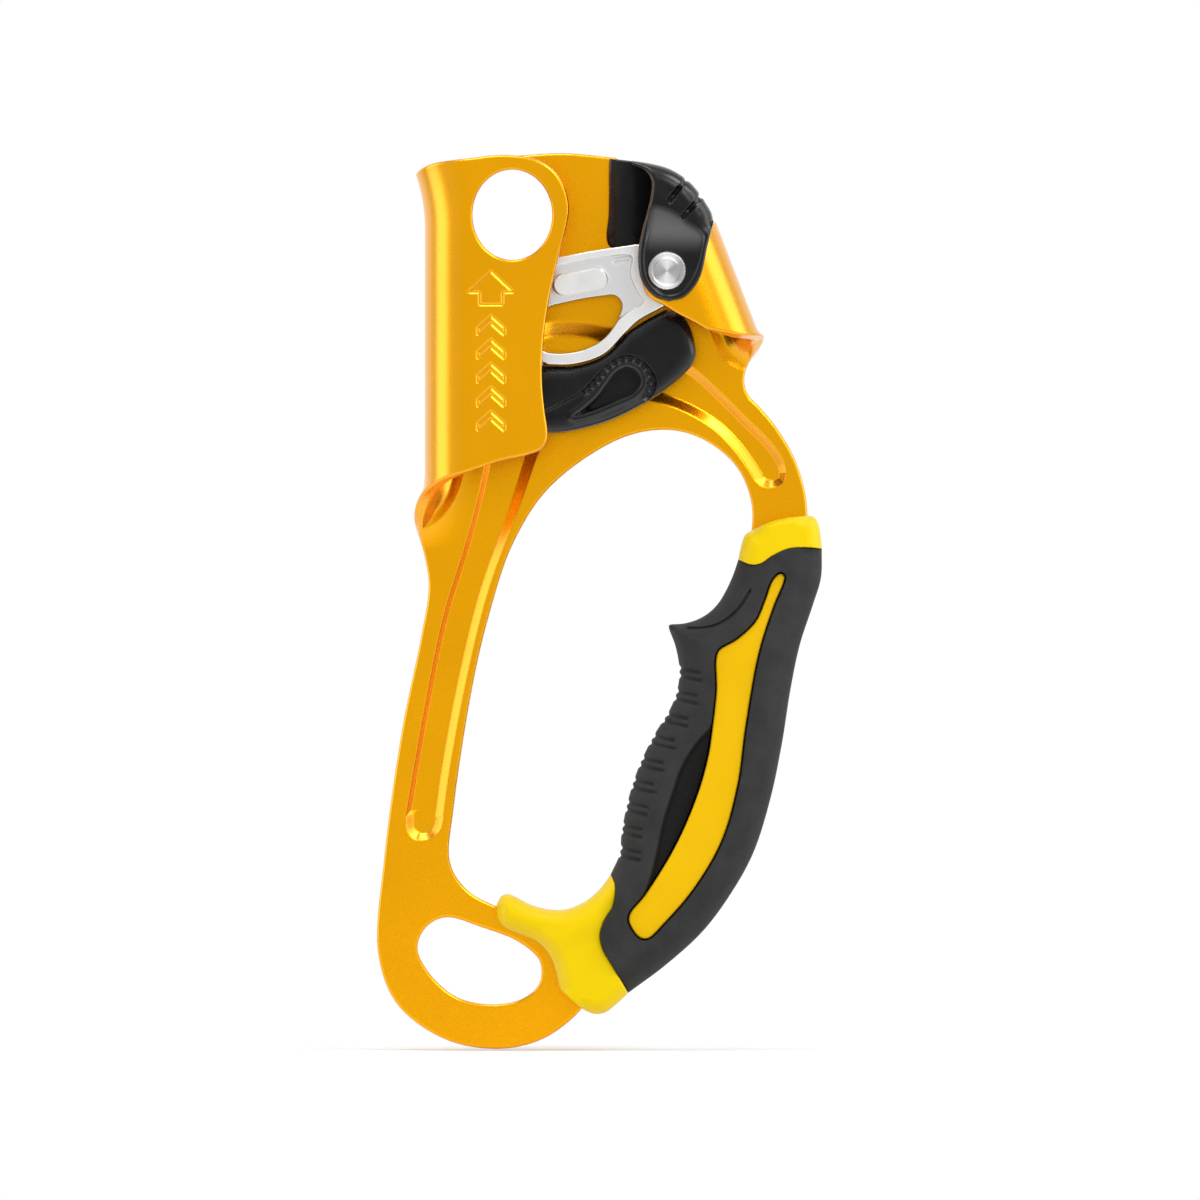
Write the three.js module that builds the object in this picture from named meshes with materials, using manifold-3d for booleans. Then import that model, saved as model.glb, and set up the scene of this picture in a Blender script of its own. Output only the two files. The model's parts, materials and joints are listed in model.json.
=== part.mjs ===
// Handled rope clamp (ascender), in millimetres. +X is to the right, +Z is up along the rope and -Y is the front.
// The origin is on the rope's centre line, level with the cam axle. Outlines are drawn in X and Z.
import * as THREE from 'three';
import { mergeVertices } from 'three/addons/utils/BufferGeometryUtils.js';
import Module from 'manifold-3d';

const wasm = await Module();
wasm.setup();

// Sheet metal
const SHEET = 3.2;                     // thickness of the frame's aluminium
const BEND_OUT = 10.5;                 // outer radius of both folds, and half the frame's depth
const BEND_IN = BEND_OUT - SHEET;
const GAP = 0.3;                       // clearance between neighbouring pieces
const SHUT_LINE = 0.45;                // clearance between the grip's two plastics, in outline
const CLIP_HOLE = { x: 8.6, z: 11.9, rx: 8.65, rz: 9.8 };
const GROOVE_DEPTH = 1.2;              // pressed grooves of the spine and the arm
const BEVEL_STEPS = 2;                 // facets of a rounded edge
// The fold beside the pivot leans out at the bottom
const LEAN = THREE.MathUtils.degToRad(21);
const PIVOT_FOLD = { x: 48.2, z: -6.56, top: 14.5 };
// Cam and its axle
const AXLE = { x: 42.2, z: -0.3, r: 3.0, headR: 4.15 };
const BORE_R = AXLE.r + 0.35;          // of everything that is threaded on the axle
const CAM_HALF = 4.8;                  // half the cam's width
const HUB = { r: 6.4, reliefR: 7.2, back: 0.8 };
const WASHER_R = 5.1;
const WASHER_FACE = BEND_IN - 0.4;     // washers stop short of where the fold starts to curve
const FACE = { r: 48.1, at: 12, first: 10.5, last: 30, rows: 9, tooth: 0.9 };
// Trigger, hinged on a tongue of the cam
const PIN = { x: 9.8, z: -25.6, r: 1.4 };
const TRIGGER_HALF = 4.4;
const TRIGGER_ROUND = 2.2;             // its rounded edges clear the inside of the pivot fold
const SLOT_HALF = 2.6;
const TONGUE = { front: -2.3, back: 0.3, r: 4.2 };
// Thumb cap and grip
const CAP_SKIN = 1.5;                  // side walls of the cap
const GRIP_MIDDLE = BEND_OUT - SHEET / 2;
const GRIP_HALF = 12;                  // half the rubber's depth
const GRIP_ROUND = 3.2;                // rounding of the rubber's edges
const WINDOW_HALF = 11.4;              // half the depth over the two coloured strips
const COLLAR_HALF = 8.5;
const GUARD_HALF = 9.5;
const SLEEVE_HALF = 4.2;               // half the depth of the hard sleeve inside the rubber
const SLEEVE_WALL = 2.4;

const radians = THREE.MathUtils.degToRad;

// ---- Outlines ----

// A smooth line through a few points, as short straight steps.
function curve(points, perSpan = 2, closed = false) {
  const through = points.map(([x, z]) => new THREE.Vector3(x, z, 0));
  const spans = closed ? points.length : points.length - 1;
  const line = new THREE.CatmullRomCurve3(through, closed, 'centripetal').getPoints(perSpan * spans);
  if (closed) line.pop();
  return line.map((p) => [p.x, p.y]);
}

function arc(x, z, r, from, to, steps) {
  return Array.from({ length: steps + 1 }, (_, i) => {
    const angle = radians(from + ((to - from) * i) / steps);
    return [x + r * Math.cos(angle), z + r * Math.sin(angle)];
  });
}

function ellipse({ x, z, rx, rz }, steps) {
  return arc(0, 0, 1, 0, 360, steps).slice(0, -1).map(([u, v]) => [x + u * rx, z + v * rz]);
}

function circle(x, z, r, steps) {
  return ellipse({ x, z, rx: r, rz: r }, steps);
}

// Stretches of an outline end to end, without doubled points.
function join(...stretches) {
  const points = stretches.flat();
  return points.filter(([x, z], i) => {
    const [u, v] = points[(i + points.length - 1) % points.length];
    return Math.hypot(x - u, z - v) > 0.05;
  });
}

// The outline moved outward by a distance, or inward if it is negative.
function grown(points, distance) {
  const side = THREE.ShapeUtils.isClockWise(points.map(([x, z]) => new THREE.Vector2(x, z))) ? -1 : 1;
  return points.map(([x, z], i) => {
    const [px, pz] = points[(i + points.length - 1) % points.length];
    const [nx, nz] = points[(i + 1) % points.length];
    const along = new THREE.Vector2(nx - px, nz - pz).normalize();
    return [x + along.y * side * distance, z - along.x * side * distance];
  });
}

// ---- Solids ----

function toSolid(geometry) {
  geometry.deleteAttribute('normal');
  geometry.deleteAttribute('uv');
  const merged = mergeVertices(geometry, 1e-4);
  return new wasm.Manifold(new wasm.Mesh({
    numProp: 3,
    vertProperties: new Float32Array(merged.attributes.position.array),
    triVerts: new Uint32Array(merged.index.array),
  }));
}

function toMesh(name, solid, material) {
  const { vertProperties, triVerts } = solid.getMesh();
  const geometry = new THREE.BufferGeometry();
  geometry.setAttribute('position', new THREE.BufferAttribute(vertProperties, 3));
  geometry.setIndex(new THREE.BufferAttribute(triVerts, 1));
  geometry.computeVertexNormals();
  const mesh = new THREE.Mesh(geometry, material);
  mesh.name = name;
  return mesh;
}

// An outline extruded in depth from front to back. With a bevel, its layers step in towards both faces on a
// quarter circle.
function slab(points, front, back, bevel = 0) {
  const shape = new THREE.Shape(points.map(([x, z]) => new THREE.Vector2(x, z)));
  const layers = bevel > 0 ? 2 * BEVEL_STEPS + 1 : 1;
  const geometry = new THREE.ExtrudeGeometry(shape, { depth: layers, steps: layers, bevelEnabled: false });
  const place = geometry.attributes.position;
  const key = (x, z) => `${Math.fround(x)} ${Math.fround(z)}`;
  const order = new Map(points.map(([x, z], i) => [key(x, z), i]));
  const rings = Array.from({ length: layers + 1 }, (_, layer) => {
    const turn = radians(90 * Math.min(1, layer / BEVEL_STEPS, (layers - layer) / BEVEL_STEPS));
    const depth = bevel * (1 - Math.cos(turn));
    const outline = bevel > 0 ? grown(points, -bevel * (1 - Math.sin(turn))) : points;
    return { y: 2 * layer < layers ? back - depth : front + depth, outline };
  });
  for (let i = 0; i < place.count; i++) {
    const { y, outline } = rings[Math.round(place.getZ(i))];
    const [x, z] = outline[order.get(key(place.getX(i), place.getY(i)))];
    place.setXYZ(i, x, y, z);
  }
  return toSolid(geometry);
}

function disc(x, z, r, front, back, steps = 24) {
  return slab(circle(x, z, r, steps), front, back);
}

function ring(x, z, inner, outer, front, back, steps = 24) {
  return disc(x, z, outer, front, back, steps).subtract(disc(x, z, inner, front - 1, back + 1, steps));
}

// Half a tube of sheet metal: its back is local +x, its length local z, from low to high at each angle,
// and its back stands out further by flare.
function fold(low, high, flare, steps) {
  const section = new THREE.Shape();
  section.absarc(0, 0, BEND_OUT, -Math.PI / 2, Math.PI / 2, false);
  section.absarc(0, 0, BEND_IN, Math.PI / 2, -Math.PI / 2, true);
  const geometry = new THREE.ExtrudeGeometry(section, { depth: 1, steps, curveSegments: 12, bevelEnabled: false });
  const place = geometry.attributes.position;
  for (let i = 0; i < place.count; i++) {
    const angle = Math.atan2(place.getY(i), place.getX(i));
    const z = low(angle) + (high(angle) - low(angle)) * place.getZ(i);
    place.setX(i, place.getX(i) + flare(z) * Math.cos(angle));
    place.setZ(i, z);
  }
  return geometry;
}

// A round wire wound on an axis that runs in depth.
class Coil extends THREE.Curve {
  constructor(x, z, r, front, back, turns) {
    super();
    Object.assign(this, { x, z, r, front, back, turns });
  }
  getPoint(t, target = new THREE.Vector3()) {
    const angle = 2 * Math.PI * this.turns * t;
    const y = this.front + (this.back - this.front) * t;
    return target.set(this.x + this.r * Math.cos(angle), y, this.z + this.r * Math.sin(angle));
  }
}

function coil(path, wireR) {
  const section = new THREE.Shape(circle(0, 0, wireR, 6).map(([x, z]) => new THREE.Vector2(x, z)));
  return toSolid(new THREE.ExtrudeGeometry(section, { extrudePath: path, steps: Math.round(path.turns * 12) }));
}

// ---- Frame ----

// Edges of the bar that runs down inside the grip
const BAR_OUTER = curve([[73, -53.5], [71.5, -66], [66, -82], [60, -106], [52, -129], [38, -147], [28, -156]]);
const BAR_INNER = curve([[60.6, -56], [56.5, -72], [50.5, -88], [45.5, -108], [38.5, -127], [28, -139.5]]);

function backPlateOutline() {
  const up = [-Math.sin(LEAN), Math.cos(LEAN)];
  const onFold = (s) => [PIVOT_FOLD.x + up[0] * s, PIVOT_FOLD.z + up[1] * s];
  return join(
    [[-0.4, -50], [-0.4, 24.3]],
    curve([[-0.4, 24.3], [10, 25.1], [20, 25.6], [31, 24.8]], 2),
    curve([[31, 24.8], [37, 21.8], [42.5, 17.6], [46.5, 11.5]]),
    [[45.8, 8.4], onFold(PIVOT_FOLD.top), onFold(-12), [57.5, -20]],
    curve([[57.5, -20], [58.6, -23.5], [62, -29.3], [68, -37], [71.8, -46], [73, -53.5]]),
    BAR_OUTER,
    curve([[28, -156], [21, -163.8], [14, -168], [5, -169.6], [-6, -167.7], [-16.5, -160], [-20.7, -149]], 4),
    curve([[-20.7, -149], [-19.4, -128], [-15.5, -100], [-11.4, -80], [-9.6, -69], [-11.7, -58.5]]),
    [[-9, -53.5]],
  );
}

function handOpening() {
  return join(
    curve([[28, -38.8], [35, -35.6], [43, -34.9], [51, -37.3], [57.6, -43], [60.8, -51], [60.6, -56]]),
    BAR_INNER,
    curve([[28, -139.5], [15, -141.5], [5, -138.5], [-2.5, -134], [-5.2, -127], [-3.5, -110]]),
    curve([[-3.5, -110], [2.2, -80], [8.5, -60], [16, -48], [28, -38.8]]),
  );
}

const FOOT_EYE = curve([
  [-6, -141], [-10.5, -143.3], [-12.1, -148], [-8, -155], [0, -159.5], [8, -159.5], [14, -156],
  [14.8, -151], [10, -146.3], [-3, -141.4],
], 3, true);

const SPINE_GROOVE = join(
  curve([[3, -40], [-3.8, -65], [-9.9, -90], [-15, -119]]),
  curve([[-15, -119], [-14.4, -122.3], [-11.4, -123.5], [-9, -121.8], [-8.7, -119]]),
  curve([[-8.7, -119], [-6, -100], [-1.8, -80], [4, -60], [11, -40]]),
);

const ARM_GROOVE = join(
  curve([[48, -21.5], [56, -29], [64, -38], [67.3, -43.5]]),
  curve([[67.3, -43.5], [67.4, -45.6], [65, -46.4], [63, -45.8], [62.2, -44.5]]),
  curve([[62.2, -44.5], [58, -38], [50, -30.5], [41.5, -26.5]]),
);

const ROPE_FLANGE = join(
  [[-0.4, -43.6], [-0.4, 24.3]],
  curve([[-0.4, 24.3], [7, 24.9], [14, 23.9], [19.5, 18.8], [21, 13.7], [19, 4.2], [16.3, -8], [15.1, -22], [16.1, -36.5]]),
  curve([[16.1, -36.5], [15.6, -38.4], [13, -39.9], [4, -42.1], [-0.4, -43.6]]),
);

function pivotFlange() {
  const seam = [0.4 * Math.cos(LEAN), 0.4 * Math.sin(LEAN)];
  return join(
    [[43 + seam[0], 7 + seam[1]]],
    curve([[43, 7], [38.6, 4.6], [36.6, 1], [36.5, -2.4], [38.4, -6.2], [42, -8]]),
    curve([[42, -8], [46, -10.2], [50.6, -12.9]]),
    [[50.6 + seam[0], -12.9 + seam[1]]],
  );
}

function ropeFold() {
  const low = (angle) => -50.8 + 7.2 * Math.sin(angle);
  const high = (angle) => 24.3 - 2.6 * Math.cos(angle);
  const flare = (z) => 2.4 * (Math.max(0, z - 9) / 13) ** 2 + 2.6 * (Math.min(13, Math.max(0, -40 - z)) / 13) ** 2;
  const geometry = fold(low, high, flare, 16);
  geometry.rotateZ(Math.PI);
  return toSolid(geometry);
}

function pivotFold() {
  const low = (angle) => -(10.9 + 4.1 * Math.sin(angle) + 2 * Math.cos(angle));
  const geometry = fold(low, () => PIVOT_FOLD.top, () => 0, 3);
  geometry.rotateY(-LEAN);
  geometry.translate(PIVOT_FOLD.x, 0, PIVOT_FOLD.z);
  return toSolid(geometry);
}

function frame() {
  const back = slab(backPlateOutline(), BEND_IN, BEND_OUT)
    .subtract(slab(handOpening(), BEND_IN - 1, BEND_OUT + 1))
    .subtract(slab(FOOT_EYE, BEND_IN - 1, BEND_OUT + 1))
    .subtract(slab(SPINE_GROOVE, BEND_IN - 1, BEND_IN + GROOVE_DEPTH))
    .subtract(slab(ARM_GROOVE, BEND_IN - 1, BEND_IN + GROOVE_DEPTH));
  return back.add(slab(ROPE_FLANGE, -BEND_OUT, -BEND_IN))
    .add(slab(pivotFlange(), -BEND_OUT, -BEND_IN))
    .add(ropeFold())
    .add(pivotFold())
    .subtract(slab(ellipse(CLIP_HOLE, 40), -BEND_OUT - 1, BEND_OUT + 1))
    .subtract(disc(AXLE.x, AXLE.z, BORE_R, -BEND_OUT - 1, BEND_OUT + 1));
}

// ---- Cam, axle and what is threaded on it ----

// The toothed face is a logarithmic spiral about the axle, so the rope is gripped at the same angle at any
// thickness. Each tooth has a long flank below and a steep one above, so it bites when the rope pulls up.
function toothedFace() {
  const growth = Math.tan(radians(FACE.at));
  const radius = (angle) => FACE.r * Math.exp(growth * radians(angle - FACE.at));
  const pitch = (FACE.last - FACE.first) / FACE.rows;
  const at = (angle, depth) => {
    const r = radius(angle) - depth;
    return [AXLE.x - r * Math.cos(radians(angle)), AXLE.z - r * Math.sin(radians(angle))];
  };
  return Array.from({ length: FACE.rows }, (_, i) => {
    const start = FACE.first + i * pitch;
    return [at(start, 0), at(start + 0.25 * pitch, FACE.tooth)];
  }).flat();
}

function camOutline() {
  return join(
    arc(AXLE.x, AXLE.z, HUB.r, -75, 95, 14),
    curve([[35.6, 5.6], [24, 3.8], [10, 0.6], [1, -3.4], [-3.4, -7.9]]),
    toothedFace(),
    curve([[-2.4, -26.2], [-0.2, -27.4], [2.4, -25.6], [3.2, -21.4], [6, -19.7], [16, -20.3]]),
    curve([[16, -20.3], [22, -20.5], [28.5, -18.3], [33, -13.8], [36, -11], [41, -8.2]]),
  );
}

const CAM_WINDOW = curve([
  [15, -8.8], [21, -6.9], [28, -5.7], [31.7, -6.2], [32, -9.5], [28, -15.3], [22, -17.9], [15, -17.4], [12.5, -13],
], 3, true);

const CAM_TONGUE = join(
  [[6, -19], [6, PIN.z]], arc(PIN.x, PIN.z, TONGUE.r, 190, 340, 10), [[15, -19]],
);

function cam() {
  return slab(camOutline(), -CAM_HALF, CAM_HALF)
    .subtract(slab(CAM_WINDOW, -CAM_HALF - 1, CAM_HALF + 1))
    .subtract(disc(AXLE.x, AXLE.z, HUB.reliefR, HUB.back, CAM_HALF + 1, 40))
    .add(slab(CAM_TONGUE, TONGUE.front, TONGUE.back))
    .subtract(disc(AXLE.x, AXLE.z, AXLE.r + 1.3, -CAM_HALF - 1, CAM_HALF + 1))
    .subtract(disc(PIN.x, PIN.z, PIN.r + GAP, -CAM_HALF, CAM_HALF, 16));
}

const HEAD_FRONT = -BEND_OUT - GAP - 1.6;

function camAxle() {
  return disc(AXLE.x, AXLE.z, AXLE.r, HEAD_FRONT + 0.5, -HEAD_FRONT - 0.2, 24)
    .add(disc(AXLE.x, AXLE.z, AXLE.headR, HEAD_FRONT, -BEND_OUT - GAP, 40));
}

// ---- Trigger ----

function triggerOutline() {
  return join(
    curve([[5.4, -28.5], [5.6, -24.6], [8.6, -22], [16, -21.4], [22, -21.8], [28, -19.7], [32, -16.5]]),
    curve([[32, -16.5], [33.8, -13.8], [38, -11.1], [42, -9]]),
    curve([[42, -9], [45.5, -10.2], [47.3, -12.5], [48.4, -17.5], [47.6, -21]]),
    curve([[47.6, -21], [44, -24.5], [37, -29.2], [28, -33.4], [16.5, -35.5], [8.5, -33.6], [5.4, -28.5]]),
  );
}

const TRIGGER_POCKET = curve([
  [21.8, -31.7], [27, -27.8], [30.5, -22.8], [34, -21], [36.6, -24], [35, -26.8], [28, -29.8],
], 3, true);

const TRIGGER_SLOT = [[3, -18], [3, -31.5], [14.6, -31.5], [18.2, -27], [18.2, -18]];

function trigger() {
  return slab(triggerOutline(), -TRIGGER_HALF, TRIGGER_HALF, TRIGGER_ROUND)
    .subtract(slab(TRIGGER_POCKET, -TRIGGER_HALF - 1, -TRIGGER_HALF + 5))
    .subtract(slab(TRIGGER_SLOT, -SLOT_HALF, SLOT_HALF))
    .subtract(disc(PIN.x, PIN.z, PIN.r + GAP, -TRIGGER_HALF - 1, TRIGGER_HALF + 1, 16));
}

// ---- Thumb cap ----

const CAP_FRONT = join(
  curve([[36.5, 22.8], [38.7, 19.5], [38.2, 14], [36.6, 8], [35.9, 3], [36.6, -2.3], [39.5, -6], [42.5, -6.95]]),
  curve([[42.5, -6.95], [46, -6], [49.3, -2], [51, 5], [52.4, 11]]),
  curve([[52.4, 11], [49.6, 16.3], [44.8, 20.9], [36.5, 22.8]]),
);
const CAP_BLOCK = join(
  curve([[36.5, 22.8], [38.7, 19.5], [38.2, 14], [36.9, 8.2]]),
  [[43, 7.9]],
  curve([[52.1, 11.5], [49.6, 16.3], [44.8, 20.9], [36.5, 22.8]]),
);
const CAP_INNER = join(
  curve([[29.7, 24.2], [29.5, 15], [29.2, 7.2], [30.4, 5.4], [32, 5.7]]),
  curve([[32, 5.7], [37, 8.5], [39, 14], [39.5, 22.6]]),
  curve([[39.5, 22.6], [35, 23.6], [29.7, 24.2]]),
);
const CAP_ROOF = join(
  curve([[35.5, 23.5], [38, 22.1], [43.2, 17.9], [47.2, 11.5]]),
  curve([[52, 11.6], [49.6, 16.3], [44.8, 20.9], [35.5, 23.5]]),
);

function thumbCap() {
  const side = BEND_OUT + GAP;
  const camRoom = disc(AXLE.x, AXLE.z, HUB.r + 2.2, -BEND_IN, BEND_IN + 1, 40);
  return slab(CAP_FRONT, -side - CAP_SKIN, -side)
    .add(slab(CAP_BLOCK, -side - CAP_SKIN, BEND_IN - GAP))
    .add(slab(CAP_INNER, BEND_IN - GAP - 1.6, BEND_IN - GAP))
    .add(slab(CAP_ROOF, 0, side + CAP_SKIN))
    .add(slab(CAP_FRONT, side, side + CAP_SKIN))
    .subtract(camRoom)
    .subtract(disc(AXLE.x, AXLE.z, AXLE.headR + 0.45, -side - 3, side + 3, 40));
}

// ---- Grip ----

// The stretch of frame that the grip is moulded round, from above the collar to past the finger guard
const BAR = join(
  [[72.6, -50]], BAR_OUTER, [[21, -163.8], [4, -152], [1, -138]],
  curve([[5, -138.5], [15, -141.5], [28, -139.5]]), [...BAR_INNER].reverse(), [[60.8, -51]],
);
const SLEEVE = join(
  curve([[74.9, -60], [72.5, -72], [68.2, -83], [62.6, -106], [54.4, -130.6], [39.8, -149.2], [35, -153.5]]),
  curve([[31.5, -151], [30.5, -137.5], [36.4, -125.6], [43.1, -107], [48.1, -87.2], [54.2, -71], [59, -62]]),
);
const COLLAR = join(
  curve([[57.9, -62.8], [58.7, -59], [60.8, -56.4], [64, -55], [68, -53.9], [73, -53.2], [75, -54.7], [76, -60.4]]),
  curve([[76, -60.4], [69.5, -60.3], [65, -62], [61.5, -63.9], [57.9, -62.8]]),
);
const GUARD = join(
  curve([[30, -131.6], [25.5, -136.8], [18, -139.4], [12, -138], [7.5, -135.9], [5, -139], [7.2, -143.3]]),
  curve([[7.2, -143.3], [13.5, -146], [17.5, -151], [18.7, -156.3]]),
  curve([[18.7, -156.3], [24.2, -161.1], [28.2, -161.8], [33.8, -157.4]]),
  curve([[33.8, -157.4], [30, -150.8], [27.6, -145], [30.5, -138.5], [31, -134], [30, -131.6]]),
);
const WINDOW = join(
  curve([[66.8, -66], [64.3, -70], [61.5, -76.5], [57, -80.7], [53, -83.6], [52.5, -97], [48.5, -115], [41, -130.5]]),
  curve([[41, -130.5], [34, -140.2], [33.7, -141.8], [36, -145.4], [38.5, -145]]),
  curve([[38.5, -145], [48, -134.7], [56, -118.5], [60.2, -94], [64, -77], [67.7, -67.5], [66.8, -66]]),
);
const RUBBER = join(
  curve([[57.8, -63], [55.5, -69], [51.5, -74.5], [46, -76.9], [42.6, -77.5]]),
  curve([[42.6, -77.5], [45, -87], [41, -98], [33.8, -115], [32.2, -125], [30, -131.6]]),
  curve([[30, -131.6], [31, -134], [30.5, -138.5], [27.6, -145], [30, -150.8], [33.8, -157.4]]),
  curve([[33.8, -157.4], [46, -148], [56, -136], [63.2, -121], [68, -98], [70.8, -83], [75.5, -69], [76, -60.6]]),
  curve([[76, -60.6], [69.5, -60.5], [65, -62.3], [61.5, -64.1], [57.8, -63]]),
);

function gripSlab(points, half, bevel = 0) {
  return slab(points, GRIP_MIDDLE - half, GRIP_MIDDLE + half, bevel);
}

function gripCore() {
  return gripSlab(SLEEVE, SLEEVE_HALF)
    .add(gripSlab(COLLAR, COLLAR_HALF, 1.6))
    .add(gripSlab(GUARD, GUARD_HALF, 1.6))
    .add(gripSlab(WINDOW, WINDOW_HALF))
    .subtract(gripSlab(grown(BAR, GAP), SHEET / 2 + GAP));
}

function gripRubber() {
  return gripSlab(RUBBER, GRIP_HALF, GRIP_ROUND)
    .subtract(gripSlab(grown(SLEEVE, SHUT_LINE), SLEEVE_HALF + GAP))
    .subtract(gripSlab(grown(COLLAR, SHUT_LINE), GRIP_HALF))
    .subtract(gripSlab(grown(GUARD, SHUT_LINE), GRIP_HALF))
    .subtract(gripSlab(grown(WINDOW, SHUT_LINE), GRIP_HALF + 1))
    .subtract(gripSlab(grown(BAR, GAP), SHEET / 2 + GAP));
}

// ---- Assembly ----

const material = (color, roughness, metalness = 0) => new THREE.MeshStandardMaterial({ color, roughness, metalness });
const ANODISED = material(0xe5a200, 0.32, 1);
const STEEL = material(0xc9c9c9, 0.3, 1);
const BLACK = material(0x2b2b2d, 0.5);
const RUBBER_BLACK = material(0x393939, 0.85);
const YELLOW = material(0xf5d400, 0.45);
const BRONZE = material(0xb08a4a, 0.45, 1);

const ascender = new THREE.Group();
ascender.add(
  toMesh('frame', frame(), ANODISED),
  toMesh('cam', cam(), STEEL),
  toMesh('cam_axle', camAxle(), STEEL),
  toMesh('axle_lock_ring', ring(AXLE.x, AXLE.z, BORE_R, AXLE.headR, BEND_OUT + GAP, -HEAD_FRONT), STEEL),
  toMesh('cam_bush', ring(AXLE.x, AXLE.z, BORE_R, AXLE.r + 1, -CAM_HALF, 5.7), BRONZE),
  toMesh('washer_front', ring(AXLE.x, AXLE.z, BORE_R, WASHER_R, -WASHER_FACE, -CAM_HALF - GAP), STEEL),
  toMesh('washer_rear', ring(AXLE.x, AXLE.z, BORE_R, WASHER_R, 6, WASHER_FACE), STEEL),
  toMesh('cam_spring', coil(new Coil(AXLE.x, AXLE.z, 5.2, 1.8, 5, 2.5), 0.55), STEEL),
  toMesh('trigger', trigger(), BLACK),
  toMesh('trigger_pin', disc(PIN.x, PIN.z, PIN.r, -TRIGGER_HALF + 0.2, TRIGGER_HALF - 0.2, 16), STEEL),
  toMesh('trigger_spring', coil(new Coil(PIN.x, PIN.z, 2.2, 1, 2, 1.5), 0.3), STEEL),
  toMesh('thumb_cap', thumbCap(), BLACK),
  toMesh('grip_core', gripCore(), YELLOW),
  toMesh('grip_rubber', gripRubber(), RUBBER_BLACK),
);

export default ascender;
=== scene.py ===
"""Handled rope clamp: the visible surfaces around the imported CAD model.

Outlines are drawn in millimetres in the row's X and Z. The places of the joints and the depths of the CAD
nodes come from the frame. Most surfaces come from one builder, moulded(): it fills an outline with
triangles, gives it a front and a back height, rounds its edges, and can bend the result as sheet metal.
"""
import json
import math

import bmesh
import bpy
import numpy as np
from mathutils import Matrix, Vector, kdtree
from mathutils.bvhtree import BVHTree
from mathutils.geometry import delaunay_2d_cdt


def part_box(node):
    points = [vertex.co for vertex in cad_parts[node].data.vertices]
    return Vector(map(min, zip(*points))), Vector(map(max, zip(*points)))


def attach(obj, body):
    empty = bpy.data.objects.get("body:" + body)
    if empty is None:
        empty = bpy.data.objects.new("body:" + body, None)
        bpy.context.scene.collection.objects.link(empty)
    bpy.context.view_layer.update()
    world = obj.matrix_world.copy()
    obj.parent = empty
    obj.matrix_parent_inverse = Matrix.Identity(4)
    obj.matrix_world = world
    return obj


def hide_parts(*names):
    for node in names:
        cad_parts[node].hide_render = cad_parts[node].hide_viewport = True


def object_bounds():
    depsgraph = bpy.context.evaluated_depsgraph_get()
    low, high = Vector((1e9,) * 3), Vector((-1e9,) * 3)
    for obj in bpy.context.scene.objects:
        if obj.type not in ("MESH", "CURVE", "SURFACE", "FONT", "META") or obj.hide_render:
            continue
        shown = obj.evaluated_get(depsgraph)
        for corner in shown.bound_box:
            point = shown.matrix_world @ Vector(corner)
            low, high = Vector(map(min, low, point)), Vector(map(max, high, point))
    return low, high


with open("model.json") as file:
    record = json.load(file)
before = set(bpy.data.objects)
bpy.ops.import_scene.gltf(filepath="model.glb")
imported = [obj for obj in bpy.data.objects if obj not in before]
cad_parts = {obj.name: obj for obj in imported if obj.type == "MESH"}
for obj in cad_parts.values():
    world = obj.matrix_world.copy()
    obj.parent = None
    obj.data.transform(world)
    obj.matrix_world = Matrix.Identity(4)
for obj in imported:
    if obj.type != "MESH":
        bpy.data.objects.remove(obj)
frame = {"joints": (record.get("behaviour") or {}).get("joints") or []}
CAD_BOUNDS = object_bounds()
MM = 0.001

# ---- Places taken from the frame, in millimetres ----


def joint_place(name):
    place = next(j["pos_m"] for j in frame["joints"] if j["name"] == name)
    return np.array([place[0], place[2]]) / MM


def depths(node):
    low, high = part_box(node)
    return low.y / MM, high.y / MM


AXLE = joint_place("cam_pivot")
PIN = joint_place("trigger_pivot")
CAM_FRONT, CAM_BACK = depths("cam")
TRIGGER_FRONT, TRIGGER_BACK = depths("trigger")
CAP_FRONT, CAP_BACK = depths("thumb_cap")
GRIP_FRONT, GRIP_BACK = depths("grip_rubber")
GRIP_MIDDLE = (GRIP_FRONT + GRIP_BACK) / 2
GRIP_HALF = (GRIP_BACK - GRIP_FRONT) / 2
SHEET = 3.2
GAP = 0.3                             # clearance between neighbouring pieces
CAP_SKIN = 1.5                        # side walls of the cap
BEND_OUT = CAP_BACK - CAP_SKIN - GAP  # outer radius of both folds
MID = BEND_OUT - SHEET / 2            # depth of the back plate's middle, and radius of the folds' middle
HALF_TURN = math.pi * MID             # sheet used up by each fold
LEAN = math.radians(21)               # the pivot fold leans out at the bottom
FOLD_AT = np.array([48.2, -6.56])     # a point on the pivot fold's axis
FOLD_OUT = np.array([math.cos(LEAN), math.sin(LEAN)])
FOLD_DOWN = np.array([math.sin(LEAN), -math.cos(LEAN)])
FOLD_TOP = -14.5                      # where the pivot fold starts, measured down its axis
SHUT_LINE = 0.45                      # gap between the grip's two plastics

# ---- Lines ----


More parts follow.
